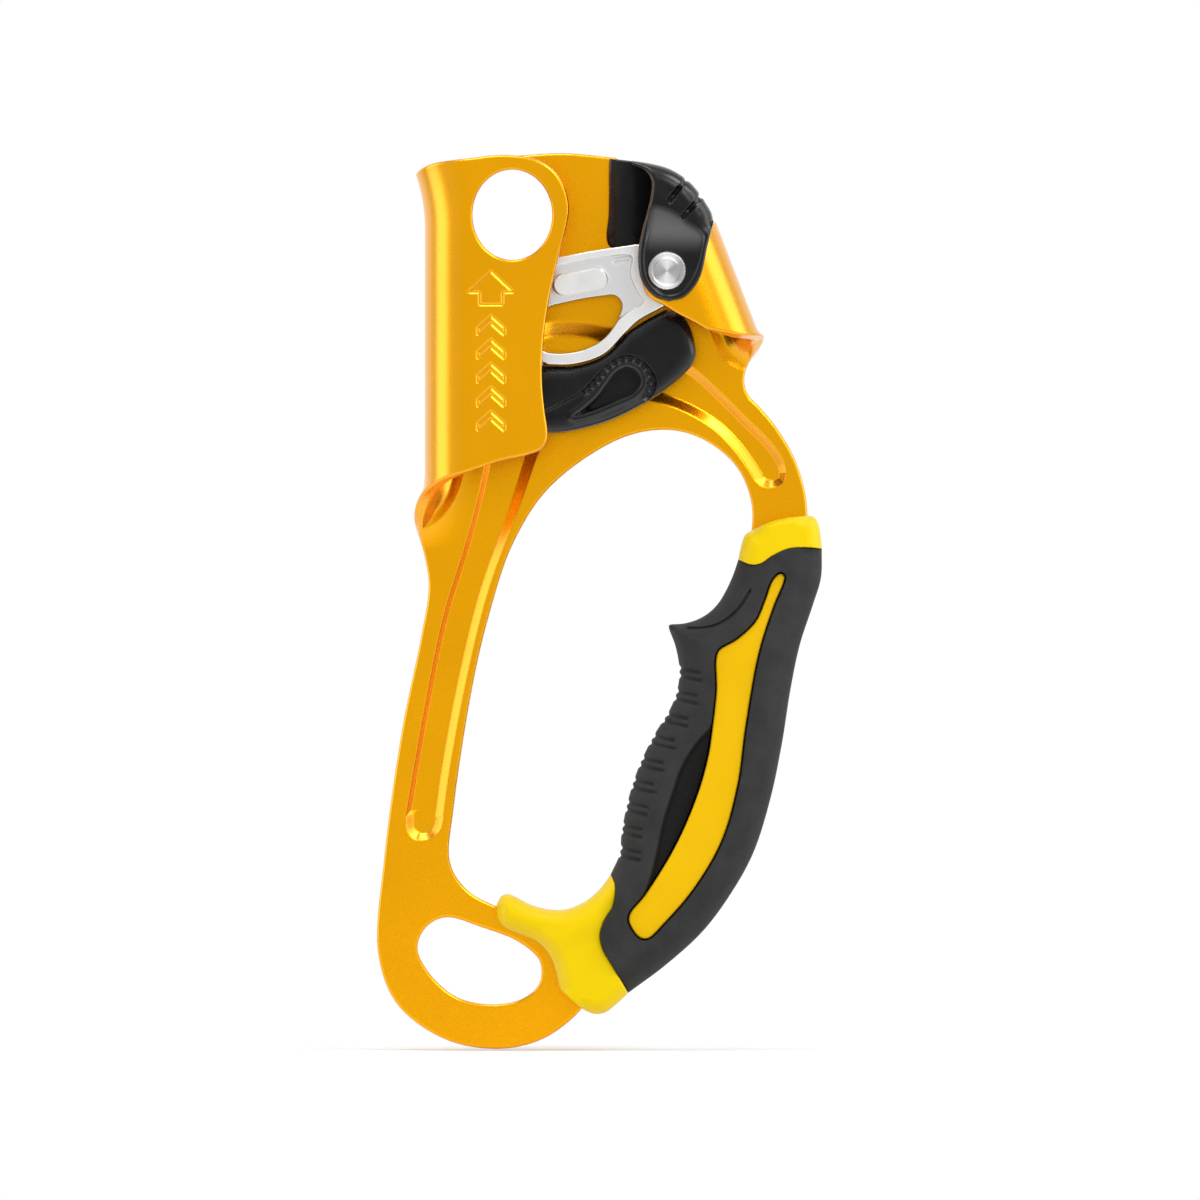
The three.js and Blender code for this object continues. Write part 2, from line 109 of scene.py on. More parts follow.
def smooth(points, step=0.6, closed=False):
    """A centripetal Catmull-Rom line through the points, resampled at about one point a step."""
    p = np.array(points, float)
    if closed:
        p = np.vstack([p[-1], p, p[0], p[1]])
    else:
        p = np.vstack([2 * p[0] - p[1], p, 2 * p[-1] - p[-2]])
    knots = np.concatenate([[0], np.cumsum(np.sqrt(np.linalg.norm(np.diff(p, axis=0), axis=1)))])
    t = np.linspace(knots[1], knots[-2], 24 * (len(p) - 3) + 1)
    i = np.clip(np.searchsorted(knots, t, "right") - 1, 1, len(p) - 3)
    t = t[:, None]

    def mix(a, b, i, j):
        ti, tj = knots[i][:, None], knots[j][:, None]
        return (a * (tj - t) + b * (t - ti)) / (tj - ti)

    a1, a2, a3 = (mix(p[i + k - 1], p[i + k], i + k - 1, i + k) for k in range(3))
    b1, b2 = mix(a1, a2, i - 1, i + 1), mix(a2, a3, i, i + 2)
    return resample(mix(b1, b2, i, i + 1), step)


def resample(line, step):
    line = np.array(line, float)
    along = np.concatenate([[0], np.cumsum(np.linalg.norm(np.diff(line, axis=0), axis=1))])
    places = np.linspace(0, along[-1], max(2, round(along[-1] / step) + 1))
    return np.column_stack([np.interp(places, along, line[:, k]) for k in range(2)])


def join(*stretches):
    """Stretches end to end as one closed loop, turning anticlockwise seen from the front."""
    points = np.vstack([s if isinstance(s, np.ndarray) else smooth(s) for s in stretches])
    gap = np.linalg.norm(points - np.roll(points, 1, axis=0), axis=1)
    points = points[gap > 0.05]
    x, z = points.T
    area = np.sum(x * np.roll(z, -1) - np.roll(x, -1) * z)
    return points if area > 0 else points[::-1]


def ellipse(centre, rx, rz, tilt=0.0, step=0.6):
    count = max(16, round(math.pi * (rx + rz) / step))
    a = np.arange(count) * 2 * math.pi / count
    x, z = rx * np.cos(a), rz * np.sin(a)
    c, s = math.cos(tilt), math.sin(tilt)
    return np.column_stack([centre[0] + x * c - z * s, centre[1] + x * s + z * c])


def sides(line):
    """Unit vectors to the left of an open line at each of its points."""
    along = np.gradient(line, axis=0)
    along /= np.maximum(np.linalg.norm(along, axis=1), 1e-6)[:, None]
    return np.column_stack([-along[:, 1], along[:, 0]])


def rows_beside(line, distances):
    return [line + sides(line) * away for away in distances]


def loop_normals(loop):
    """Outward unit vectors of an anticlockwise loop."""
    along = np.roll(loop, -1, axis=0) - np.roll(loop, 1, axis=0)
    along /= np.linalg.norm(along, axis=1)[:, None]
    return np.column_stack([along[:, 1], -along[:, 0]])


def grown(loop, distance):
    return loop + loop_normals(loop) * distance


def ramp(t):
    """0 to 1 with a soft start and a soft end."""
    t = np.clip(t, 0, 1)
    return t * t * (3 - 2 * t)


def bevel(t, soft=0.25):
    """0 to 1 in a straight slope, rounded only at its two ends."""
    t = np.clip(t, 0, 1)
    low = t * t / (2 * soft)
    high = 1 - soft - (1 - t) ** 2 / (2 * soft)
    return np.where(t < soft, low, np.where(t > 1 - soft, high, t - soft / 2)) / (1 - soft)


class Line:
    """Distances from points to one or more lines."""

    def __init__(self, *lines, closed=False):
        corners, faces = [], []
        for line in lines:
            line = np.vstack([line, line[:1]]) if closed else line
            base = len(corners)
            corners += [(x, z, h) for x, z in line for h in (-1, 1)]
            starts = range(base, base + 2 * len(line) - 2, 2)
            faces += [(k, k + 2, k + 3, k + 1) for k in starts]
        self.lines, self.closed = lines, closed
        self.tree = BVHTree.FromPolygons(corners, faces)

    def nearest(self, points):
        """Distance from each point, and the unit vector from it to the line."""
        found = np.array([self.tree.find_nearest((x, z, 0))[0][:2] for x, z in points]).reshape(-1, 2)
        away = found - points
        distance = np.linalg.norm(away, axis=1)
        return distance, away / np.maximum(distance, 1e-9)[:, None]

    def distance(self, points):
        return self.nearest(points)[0]


def inside(points, loop):
    """Which points lie inside a closed loop, by counting crossings."""
    points = np.asarray(points)
    result = np.zeros(len(points), bool)
    low, high = loop.min(0), loop.max(0)
    near = np.flatnonzero(np.all((points >= low) & (points <= high), axis=1))
    a, b = loop, np.roll(loop, -1, axis=0)
    for part in np.array_split(near, max(1, len(near) // 4000)):
        x, z = points[part].T[:, :, None]
        crosses = (a[:, 1] > z) != (b[:, 1] > z)
        rise = np.where(b[:, 1] == a[:, 1], 1, b[:, 1] - a[:, 1])
        at = a[:, 0] + (z - a[:, 1]) * (b[:, 0] - a[:, 0]) / rise
        result[part] = np.sum(crosses & (x < at), axis=1) % 2 == 1
    return result


class Region:
    """A closed shape, with how far inside it points are. Negative is outside."""

    def __init__(self, loop):
        self.loop, self.edge = loop, Line(loop, closed=True)

    def depth(self, points):
        low, high = self.loop.min(0) - 4, self.loop.max(0) + 4
        near = np.all((points > low) & (points < high), axis=1)
        result = np.full(len(points), -4.0)
        if near.any():
            sign = np.where(inside(points[near], self.loop), 1, -1)
            result[near] = sign * self.edge.distance(points[near])
        return result

    def share(self, points, width):
        """1 inside, 0 outside, with a soft step of that width just inside the edge."""
        return ramp(self.depth(points) / width)

    def detail(self, distances):
        return [grown(self.loop, -d) for d in distances]


# ---- The builder ----

EDGE_STEPS = 5                        # rows of points across a rounded border
ROW_GAP, GRID_GAP = 0.09, 0.6         # least distance in details, and in the grid as a share of its spacing


class Rim:
    """A rounded border: its lines, reach inward, drop, and the faces that have it (-1 is the front)."""

    def __init__(self, fence, reach, drop=None, faces=(-1, 1)):
        self.fence, self.reach, self.drop, self.faces = fence, reach, drop or reach, faces

    def rows(self):
        angles = [math.radians(90 * k / EDGE_STEPS) for k in range(1, EDGE_STEPS + 1)]
        steps = [self.reach * (1 - math.cos(a)) for a in angles]
        for row in steps:
            for line in self.fence.lines:
                across = loop_normals(line) if self.fence.closed else sides(line)
                yield row, np.vstack([line + across * row, line - across * row])


def scatter(loops, rims, grid, extra):
    """Points to triangulate: rows along the rims, those of the details, and a grid over the rest."""
    fence = Line(*loops, closed=True)
    families = [(points, ROW_GAP, None, 0) for points in extra]
    for rim in rims:
        families += [(points, 0.1, rim.fence, 0.97 * row) for row, points in rim.rows()]
    low, high = loops[0].min(0), loops[0].max(0)
    mesh_x, mesh_z = np.meshgrid(np.arange(low[0], high[0], grid), np.arange(low[1], high[1], grid * 0.87))
    mesh_x[1::2] += grid / 2
    families.append((np.column_stack([mesh_x.ravel(), mesh_z.ravel()]), grid * GRID_GAP, None, 0))
    border = np.vstack(loops)
    size = len(border) + sum(len(points) for points, *_ in families)
    kept, tree = [border], kdtree.KDTree(size)
    for x, z in border:
        tree.insert((x, z, 0), 0)
    tree.balance()
    for points, apart, own, least in families:
        within = inside(points, loops[0])
        for hole in loops[1:]:
            within &= ~inside(points, hole)
        points = points[within]
        points = points[fence.distance(points) > 0.08] if len(points) else points
        if own is not None and len(points):
            points = points[own.distance(points) > least]
        points = np.array([p for p in points if tree.find((*p, 0))[2] > apart]).reshape(-1, 2)
        points = thinned(points, apart * 0.8)
        for x, z in points:
            tree.insert((x, z, 0), 0)
        tree.balance()
        kept.append(points)
    return np.vstack(kept)


def thinned(points, apart):
    """Drops points that fall in the same small cell."""
    if not len(points):
        return points
    cells = np.round(points / apart).astype(int)
    _, first = np.unique(cells, axis=0, return_index=True)
    return points[np.sort(first)]


def slopes(height, points, reach=0.02):
    x, z = np.array([reach, 0]), np.array([0, reach])
    return np.column_stack([
        (height(points + x) - height(points - x)) / (2 * reach),
        (height(points + z) - height(points - z)) / (2 * reach),
    ])


def moulded(loops, front, back, edge=None, rims=(), grid=1.2, extra=(), bend=None, teeth=None, tone=None):
    """A closed body between two surfaces over an outline with holes, as (places, faces, normals, tones).

    front and back give the depth of the two faces at each point. Every border is rounded by edge, and rims
    round some of them further. bend moves points from the flat into their real place, teeth moves the outer
    wall, and the painted-light argument, from 0 to 1, marks where a material's colour is darkened into
    painted shade and where it is lightened into a painted highlight.
    """
    rims = list(rims)
    if edge:
        rims.append(Rim(Line(*loops, closed=True), edge))
    points = scatter(loops, rims, grid, list(extra))
    starts = np.concatenate([[0], np.cumsum([len(loop) for loop in loops])])
    rings = [list(range(starts[k], starts[k + 1])) for k in range(len(loops))]
    shapes = [ring if k == 0 else ring[::-1] for k, ring in enumerate(rings)]
    flat, _, faces, _, _, inputs = delaunay_2d_cdt([Vector(p) for p in points], [], shapes, 1, 1e-6)
    faces = [f for f, owners in zip(faces, inputs) if owners == [0]]
    flat = np.array([tuple(v) for v in flat])
    outward = np.vstack([loop_normals(loop) for loop in loops])
    border = starts[-1]
    found = [rim.fence.nearest(flat) for rim in rims]
    places, normals = [], []
    for height, sign in ((front, -1), (back, 1)):
        depth, slope = height(flat), slopes(height, flat)
        for rim, (distance, toward) in zip(rims, found):
            if sign not in rim.faces:
                continue
            q = np.clip(1 - distance / rim.reach, 0, 1)
            root = np.sqrt(1 - q * q)
            depth = depth - sign * rim.drop * (1 - root)
            steep = rim.drop / rim.reach * q / np.maximum(root, 0.02)
            slope = slope - sign * toward * steep[:, None]
        normal = np.column_stack([-sign * slope[:, 0], np.full(len(flat), float(sign)),
                                  -sign * slope[:, 1]])
        normal[:border] = np.column_stack([outward[:, 0], np.zeros(border), outward[:, 1]])
        places.append(np.column_stack([flat[:, 0], depth, flat[:, 1]]))
        normals.append(normal / np.linalg.norm(normal, axis=1)[:, None])
    shift = len(flat)
    polygons = [tuple(f) for f in faces] + [tuple(v + shift for v in reversed(f)) for f in faces]
    places, normals = np.vstack(places), np.vstack(normals)
    for k, ring in enumerate(rings):
        if k == 0 and teeth:
            places, normals, walls = toothed_wall(ring, shift, places, normals, outward, teeth)
            polygons += walls
            continue
        for a, b in zip(ring, ring[1:] + ring[:1]):
            polygons.append((a, a + shift, b + shift, b))
    tones = np.zeros(len(places))
    if tone:
        tones[:2 * shift] = np.tile(tone(flat), 2)
    if bend:
        places, normals = bent(bend, places, normals)
    return places, polygons, normals, tones


def toothed_wall(ring, shift, places, normals, outward, teeth, rows=36):
    """The outer wall as a grid whose points move outward by teeth(x, z, depth)."""
    levels = [np.array(ring)]
    for row in range(1, rows):
        share = row / rows
        middle = places[ring] * (1 - share) + places[np.array(ring) + shift] * share
        push = teeth(middle[:, [0, 2]], middle[:, 1])
        middle[:, 0] += outward[ring, 0] * push
        middle[:, 2] += outward[ring, 1] * push
        levels.append(np.arange(len(places), len(places) + len(ring)))
        places = np.vstack([places, middle])
        normals = np.vstack([normals, np.zeros_like(middle)])
    levels.append(np.array(ring) + shift)
    walls = []
    for low, high in zip(levels, levels[1:]):
        for k in range(len(ring)):
            n = (k + 1) % len(ring)
            walls.append((int(low[k]), int(high[k]), int(high[n]), int(low[n])))
    return places, normals, walls


def bent(bend, places, normals, reach=0.01):
    """The bend applied to points, and to normals by the inverse transpose of its local change."""
    steps = np.eye(3) * reach
    change = np.stack([(bend(places + s) - bend(places - s)) / (2 * reach) for s in steps], axis=2)
    turned = np.einsum("nji,nj->ni", np.linalg.inv(change), normals)
    return bend(places), turned / np.linalg.norm(turned, axis=1)[:, None]


def piece_from(name, *parts):
    """One object from closed bodies given as (places, faces, normals, tones)."""
    places = np.vstack([part[0] for part in parts])
    normals = np.vstack([part[2] for part in parts])
    tones = np.concatenate([part[3] for part in parts])
    polygons, base = [], 0
    for p, faces, *_ in parts:
        polygons += [tuple(int(v) + base for v in f) for f in faces]
        base += len(p)
    mesh = bpy.data.meshes.new(name)
    mesh.from_pydata((places * MM).tolist(), [], polygons)
    mesh.update()
    mesh.shade_smooth()
    missing = np.linalg.norm(normals, axis=1) < 0.5
    if missing.any():
        own = np.array([v.vector for v in mesh.vertex_normals])
        normals = np.where(missing[:, None], own, normals)
    mesh.normals_split_custom_set_from_vertices(normals.tolist())
    # painted light: values from 0 to 1 at each point, where a material's colour is darkened into painted
    # shade and where it is lightened into a painted highlight
    mesh.attributes.new("tone", "FLOAT", "POINT").data.foreach_set("value", tones.astype(np.float32))
    piece = bpy.data.objects.new(name, mesh)
    bpy.context.scene.collection.objects.link(piece)
    return piece


def turned(centre, profile, segments=96):
    """A body turned about an axis that runs in depth, from a closed profile of (radius, depth)."""
    angles = np.arange(segments) * 2 * math.pi / segments
    places, faces = [], []
    for radius, depth in profile:
        places += [(centre[0] + radius * math.cos(a), depth,
                    centre[1] + radius * math.sin(a)) for a in angles]
    for row in range(len(profile)):
        low, high = row * segments, (row + 1) % len(profile) * segments
        for k in range(segments):
            n = (k + 1) % segments
            faces.append((low + k, high + k, high + n, low + n))
    return np.array(places), faces


def swept(path, radius, around=12):
    """Round wire along a path of points."""
    path = np.array(path, float)
    along = np.gradient(path, axis=0)
    along /= np.linalg.norm(along, axis=1)[:, None]
    side = np.cross(along[0], (0, 1, 0.3))
    places, faces = [], []
    for point, way in zip(path, along):
        side = side - way * np.dot(side, way)
        side /= np.linalg.norm(side)
        up = np.cross(way, side)
        places += [point + radius * (math.cos(a) * side + math.sin(a) * up)
                   for a in np.arange(around) * 2 * math.pi / around]
    for row in range(len(path) - 1):
        low, high = row * around, (row + 1) * around
        for k in range(around):
            n = (k + 1) % around
            faces.append((low + k, high + k, high + n, low + n))
    last = len(places) - around
    faces.append(tuple(range(around)))
    faces.append(tuple(range(last + around - 1, last - 1, -1)))
    return np.array(places), faces


def crisp_piece(name, places, faces):
    """An object from one closed body, smooth except at its sharp edges."""
    mesh = bpy.data.meshes.new(name)
    mesh.from_pydata((places * MM).tolist(), [], faces)
    work = bmesh.new()
    work.from_mesh(mesh)
    bmesh.ops.remove_doubles(work, verts=work.verts, dist=1e-7)
    bmesh.ops.dissolve_degenerate(work, edges=work.edges, dist=1e-8)
    bmesh.ops.recalc_face_normals(work, faces=work.faces)
    work.to_mesh(mesh)
    work.free()
    mesh.shade_smooth()
    mesh.set_sharp_from_angle(angle=math.radians(32))
    piece = bpy.data.objects.new(name, mesh)
    bpy.context.scene.collection.objects.link(piece)
    return piece


# ---- Frame ----


def on_fold(n, s):
    """A point of the flat sheet, n out from the pivot fold's axis and s down it."""
    return (FOLD_AT + n * FOLD_OUT + s * FOLD_DOWN).tolist()


def on_channel(points):
    """Points of the rope channel's front flange, drawn as seen, moved to their place in the flat sheet."""
    return [(-HALF_TURN - x, z) for x, z in points]


def on_pivot_flange(x, z):
    """The same for the flange in front of the axle."""
    local = np.array([x, z]) - FOLD_AT
    return on_fold(HALF_TURN - local @ FOLD_OUT, local @ FOLD_DOWN)


def fold_sheet(p):
    """The flat sheet bent into the rope channel at the left and round the cam's pivot at the right."""
    x, y, z = p.T
    h = y - MID
    result = p.copy()
    share = 1 - ramp((-46 - z) / 15)
    left = (x < 0) & (share > 1e-3)
    f = share[left]
    run = -x[left]
    radius = MID / f
    angle = np.minimum(run / radius, math.pi)
    past = np.maximum(run - HALF_TURN, 0)
    flare = 2.4 * np.maximum(0, (z[left] - 9) / 13) ** 2
    result[left, 0] = -(radius + h[left] + flare) * np.sin(angle) + past
    result[left, 1] = MID - radius + (radius + h[left]) * np.cos(angle)
    local = np.column_stack([x, z]) - FOLD_AT
    n, s = local @ FOLD_OUT, local @ FOLD_DOWN
    share = (1 - ramp((s - 11) / 8)) * (s > FOLD_TOP - 1)
    right = (n > 0) & (share > 1e-3)
    f, run = share[right], n[right]
    radius = MID / f
    angle = np.minimum(run / radius, math.pi)
    past = np.maximum(run - HALF_TURN, 0)
    out = (radius + h[right]) * np.sin(angle) - past
    result[right, 0] = FOLD_AT[0] + out * FOLD_OUT[0] + s[right] * FOLD_DOWN[0]
    result[right, 2] = FOLD_AT[1] + out * FOLD_OUT[1] + s[right] * FOLD_DOWN[1]
    result[right, 1] = MID - radius + (radius + h[right]) * np.cos(angle)
    return result


def sheet_outline():
    flange = on_channel([(0, 24.3), (4, 24.8), (8, 24.9), (14, 23.9), (18, 21.2), (20.3, 16.8),
                         (20.9, 13.2), (20.3, 9.2), (19, 4.2), (16.6, -6.5), (15.3, -16), (15.1, -24),
                         (15.7, -31), (16.2, -34.5), (16.1, -37), (14.9, -39), (12.4, -40.1), (6, -41.6),
                         (0, -43.6)])
    pivot_side = [(43, 7), (39, 4.9), (36.9, 1.5), (36.6, -2), (38.2, -5.8), (41.6, -7.8)]
    pivot_foot = [(41.6, -7.8), (44, -9.3), (48, -11.4), (50.6, -12.9)]
    round_pivot = [(28, 6.8), (25, 8.9), (22, 10.6), (18.5, 11.8), (15.5, 12.6), (13, 13.1), (10.6, 14.2),
                   (8.4, 15.5), (6.2, 17), (4.5, 19), (3.6, 21.4), (3.7, 23.6)]
    return join(
        [(-HALF_TURN, 24.3), (-22, 23.3), (-14, 21.2), (-6, 23), (0, 24.4)],
        [(0, 24.4), (10, 25.1), (20, 25.6), (31, 24.6)],
        [(31, 24.6), (36, 21.5), (40, 14.8), on_fold(0, FOLD_TOP)],
        [on_fold(0, FOLD_TOP), on_fold(HALF_TURN, FOLD_TOP)],
        [on_pivot_flange(x, z) for x, z in pivot_side],
        [on_pivot_flange(x, z) for x, z in pivot_foot],
        [on_fold(n, s) for n, s in round_pivot]
        + [(62.6, -29.9), (66, -34), (70, -40.8), (72.3, -48), (73, -54)],
        [(73, -54), (71.5, -66), (66, -82), (60, -106), (52, -129), (38, -147), (28, -156), (21, -163.6),
         (14, -168), (5, -169.6), (-6, -167.6), (-16.5, -160), (-20.7, -149), (-19.4, -128),
         (-15.5, -100), (-11.4, -80), (-9.7, -69), (-10.6, -62.2), (-11.8, -58), (-12.9, -54.5),
         (-14.2, -51.2), (-16.8, -48.4), (-21.5, -45.9), (-HALF_TURN, -43.6)],
        flange[::-1],
    )


HAND_OPENING = [
    (27.5, -39), (36, -35.4), (44, -34.9), (51, -37.3), (57.4, -42.8), (60.5, -50), (60.6, -57),
    (56.5, -72), (50.5, -88), (45.5, -108), (38.5, -127), (28, -139.5), (16, -141.5), (5, -138.5),
    (-1.5, -134.8), (-5, -129), (-4.2, -117), (0, -90), (3.4, -75.5), (8.5, -60), (16, -48),
]
FOOT_EYE = [
    (-6, -141), (-10.2, -143.1), (-12.1, -147.6), (-9.8, -152.8), (-4, -158.1), (3, -159.9), (10, -159),
    (14.3, -155.6), (14.5, -150.6), (10, -146.4), (2, -143.2),
]
FLANGE_CLIP_HOLE, FLANGE_CLIP_RADII = (8.6, 11.9), (8.65, 9.8)
BACK_CLIP_HOLE, BACK_CLIP_RADII = (8.6, 12.2), (8.95, 10.25)
AXLE_HOLE = 3.3
STROKE_DEPTH, STROKE_WIDTH = 0.27, 0.55         # pressed marks on the front flange

# One pressed groove runs up the spine, behind the trigger and down the arm
SPINE_SIDE = [(-15, -119), (-13.5, -110), (-9.9, -90), (-6.7, -75), (-1.5, -58), (2.2, -43), (4.6, -28),
              (6.4, -18)]
BEHIND_CAM = [(6.4, -18), (9.4, -13.2), (15, -11), (22, -10.6), (30, -11.8), (38, -15.4)]
ARM_SIDE = [(38, -15.4), (48, -20.8), (55, -27), (60, -32), (64.9, -36.8), (67.9, -41), (68.7, -44)]
ARM_END = [(68.7, -44), (68.1, -46.4), (65.6, -47.7), (62.7, -47.2), (60.9, -45.6)]
GROOVE_INNER = [(60.9, -45.6), (59, -42.6), (56.4, -39.1), (52.8, -35.4), (48, -32.2), (42.5, -29.8),
                (34, -27.6), (24, -27.8), (18.4, -30.4), (15.4, -37), (10.7, -51), (3.8, -70),
                (-1.1, -90), (-4.8, -110), (-6, -119)]
SPINE_END = [(-6, -119), (-7, -122.4), (-9.4, -124.3), (-12.6, -124.4), (-14.7, -122.3), (-15, -119)]
GROOVE_LINES = [SPINE_SIDE, BEHIND_CAM, ARM_SIDE, ARM_END, GROOVE_INNER, SPINE_END]
GROOVE_WALLS = (1.5, 4.4, 2.4, 2.4, 2.8, 2.4)   # width of the sloping wall along each of these lines
GROOVE_DEPTH = 1.5
GROOVE_SHOWS_BEHIND = 0.8                       # share of the groove's depth that stands out at the back

# Beside the end of each fold the sheet has a hollow: its steep side and its gentle side
ROPE_HOLLOW = ([(-1.6, -41), (-3, -46), (-5, -50.5), (-8, -54.5), (-12, -57)],
               [(-12, -57), (-13.6, -50), (-12.5, -43), (-8, -39), (-4, -38.5), (-1.6, -41)])
PIVOT_HOLLOW = ([(51, -11.5), (52.6, -16), (54.4, -19.6), (57.2, -21.8), (61, -22.4)],
                [(61, -22.4), (62.5, -17), (59.5, -10.5), (55, -8.5), (51, -11.5)])
HOLLOWS = [(ROPE_HOLLOW, (2.0, 4.5), 1.5), (PIVOT_HOLLOW, (3.0, 5.0), 0.8)]   # lines, their walls, depth


class Groove:
    """A pressed groove whose walls slope by a different width along each of its border lines."""

    def __init__(self, lines, walls, full):
        self.lines = [smooth(line, 0.45) for line in lines]
        self.loop = np.vstack(self.lines)
        self.sides = [Line(line) for line in self.lines]
        self.walls, self.full = walls, full

    def depth(self, points):
        result = np.zeros(len(points))
        within = inside(points, self.loop)
        if within.any():
            level = [bevel(side.distance(points[within]) / wall) for side,
                     wall in zip(self.sides, self.walls)]
            result[within] = self.full * np.min(level, axis=0)
        return result

    def detail(self):
        """Rows of points along the walls, so that the triangles follow them."""
        rows = []
        for line, wall in zip(self.lines, self.walls):
            for away in np.linspace(0, wall, math.ceil(wall / 0.3) + 1):
                rows += rows_beside(line, [away, -away])
        return rows


def strokes():
    """The pressed arrow and the chevrons under it, on the front flange."""
    arrow = [(1.5, -7.6), (1.5, -4.9), (-0.9, -4.9), (4, -0.3), (8.9, -4.9), (6.5, -4.9), (6.5, -7.6),
             (1.5, -7.6)]
    chevrons = [[(1.1, top - 2.6), (4, top), (6.9, top - 2.6), (6.9, top - 4.2), (4, top - 1.6),
                 (1.1, top - 4.2),
                 (1.1, top - 2.6)] for top in np.arange(-10, -34, -5.2)]
    return [resample(on_channel(line), 0.3) for line in [arrow] + chevrons]


def frame_plate():
    groove = Groove(GROOVE_LINES, GROOVE_WALLS, GROOVE_DEPTH)
    lines = strokes()
    mark = Line(*lines)
    mark_low, mark_high = np.vstack(lines).min(0) - 1, np.vstack(lines).max(0) + 1
    hollows = [Groove(*hollow) for hollow in HOLLOWS]

    def pressed(points):
        return sum(hollow.depth(points) for hollow in hollows)

    def front(points):
        return MID - SHEET / 2 + groove.depth(points) + pressed(points)

    def back(points):
        depth = MID + SHEET / 2 + GROOVE_SHOWS_BEHIND * groove.depth(points) + pressed(points)
        near = np.all((points > mark_low) & (points < mark_high), axis=1)
        if near.any():
            depth[near] -= STROKE_DEPTH * (1 - ramp(mark.distance(points[near]) / STROKE_WIDTH))
        return depth

    across = (0, 0.18, -0.18, 0.37, -0.37, 0.55, -0.55)
    beside = [row for line in lines for row in rows_beside(line, across)]
    for hollow in hollows:
        beside += hollow.detail()
    loops = [
        sheet_outline(), join(smooth(HAND_OPENING, closed=True)), join(smooth(FOOT_EYE, closed=True)),
        ellipse(BACK_CLIP_HOLE, *BACK_CLIP_RADII),
        ellipse(on_channel([FLANGE_CLIP_HOLE])[0], *FLANGE_CLIP_RADII),
        ellipse(AXLE, AXLE_HOLE, AXLE_HOLE), ellipse(on_pivot_flange(*AXLE), AXLE_HOLE, AXLE_HOLE),
    ]
    loops[1:] = [loop[::-1] for loop in loops[1:]]
    return moulded(loops, front, back, edge=0.7, grid=1.5, extra=groove.detail() + beside, bend=fold_sheet)


# ---- Cam ----

HUB_R = 6.4
TOOTH = 0.9
FACE_FROM, FACE_TO = 10.5, 30.0       # degrees below the axle, of the toothed face
TOOTH_ROWS = 9
TOOTH_PITCH = 1.9                     # across the face
HUB_RELIEF = 7.2                      # turned away behind, for the spring
FIELD_DEPTH, FIELD_STEP = 0.9, 0.42   # the recessed field, and the width of its wall
BADGE = [(19.9, -3.2), (26.9, -2.1)]  # the middle line of the blank oval
BADGE_RADIUS, BADGE_HEIGHT, BADGE_STEP = 2.2, 0.5, 0.36
BARS = [[(31.2, 1.35), (33.9, 1.8)], [(31.1, 2.2), (34, 2.7)]]
TONGUE_FRONT, TONGUE_BACK = -2.3, 0.3


def face_point(angle, inset=0.0):
    """The toothed face is a logarithmic spiral about the axle."""
    radius = 48.1 * math.exp(math.tan(math.radians(12)) * math.radians(angle - 12)) - inset
    return AXLE - radius * np.array([math.cos(math.radians(angle)), math.sin(math.radians(angle))])


def arc(centre, radius, start, end, step=0.6):
    count = max(3, round(abs(math.radians(end - start)) * radius / step))
    a = np.radians(np.linspace(start, end, count))
    return np.column_stack([centre[0] + radius * np.cos(a), centre[1] + radius * np.sin(a)])


def cam_outline():
    face = np.array([face_point(a, TOOTH) for a in np.linspace(FACE_FROM, FACE_TO, 84)])
    tongue = [(3.2, -22.5), (5.4, -25.4), (6.4, -28.4), (9.8, -29.8), (13, -28.4), (14.6, -24.4),
              (15.4, -20.6)]
    return join(
        arc(AXLE, HUB_R, -75, 95), [(35.6, 5.6), (24, 3.8), (10, 0.6), (1, -3.4), (-3, -7.7)], face,
        [face[-1].tolist(), (-1.4, -26.4), (0.4, -26.6), (2.2, -25), (3.2, -22.5)], tongue,
        [(15.4, -20.6), (22, -20.5), (28.5, -18.3), (33, -13.8), (36, -11), (41, -8.2)],
    )


CAM_WINDOW = [
    (15, -8.8), (21, -6.9), (28, -5.7), (31, -5.6), (32.4, -7.4), (31.6, -10.5), (28.3, -15.1),
    (22, -17.9), (15, -17.4), (12.5, -13),
]
CAM_FIELD = [(5, -2.6), (18.2, 1), (33.6, 3.5), (34.8, 2.9), (34.5, -1), (36.2, -5), (37.4, -6.7),
             (36.6, -7.8), (34, -9.3), (31.8, -11), (30, -13.4), (26, -15), (14, -15.4), (8, -12)]


def cam_teeth(points, depth):
    """Rows of slanted teeth over the part of the outer wall that grips the rope."""
    arm = AXLE - points
    angle = np.degrees(np.arctan2(arm[:, 1], arm[:, 0]))
    pitch = (FACE_TO - FACE_FROM) / TOOTH_ROWS
    row = np.floor((angle - FACE_FROM) / pitch)
    on_face = (row >= 0) & (row < TOOTH_ROWS) & (points[:, 0] < 2)
    along = ((angle - FACE_FROM) / pitch - row) * np.radians(pitch) * 48
    across = (depth + np.where(row % 2, TOOTH_PITCH / 2, 0)) / TOOTH_PITCH
    across = (across - np.round(across)) * TOOTH_PITCH
    along = along - 0.6
    along = np.where(along < 0, along / 0.55, along / 1.1)
    height = TOOTH * (1 - np.hypot(along, across / 0.9))
    return np.where(on_face & (np.abs(depth) < 4.3), np.clip(height, 0, None), 0)


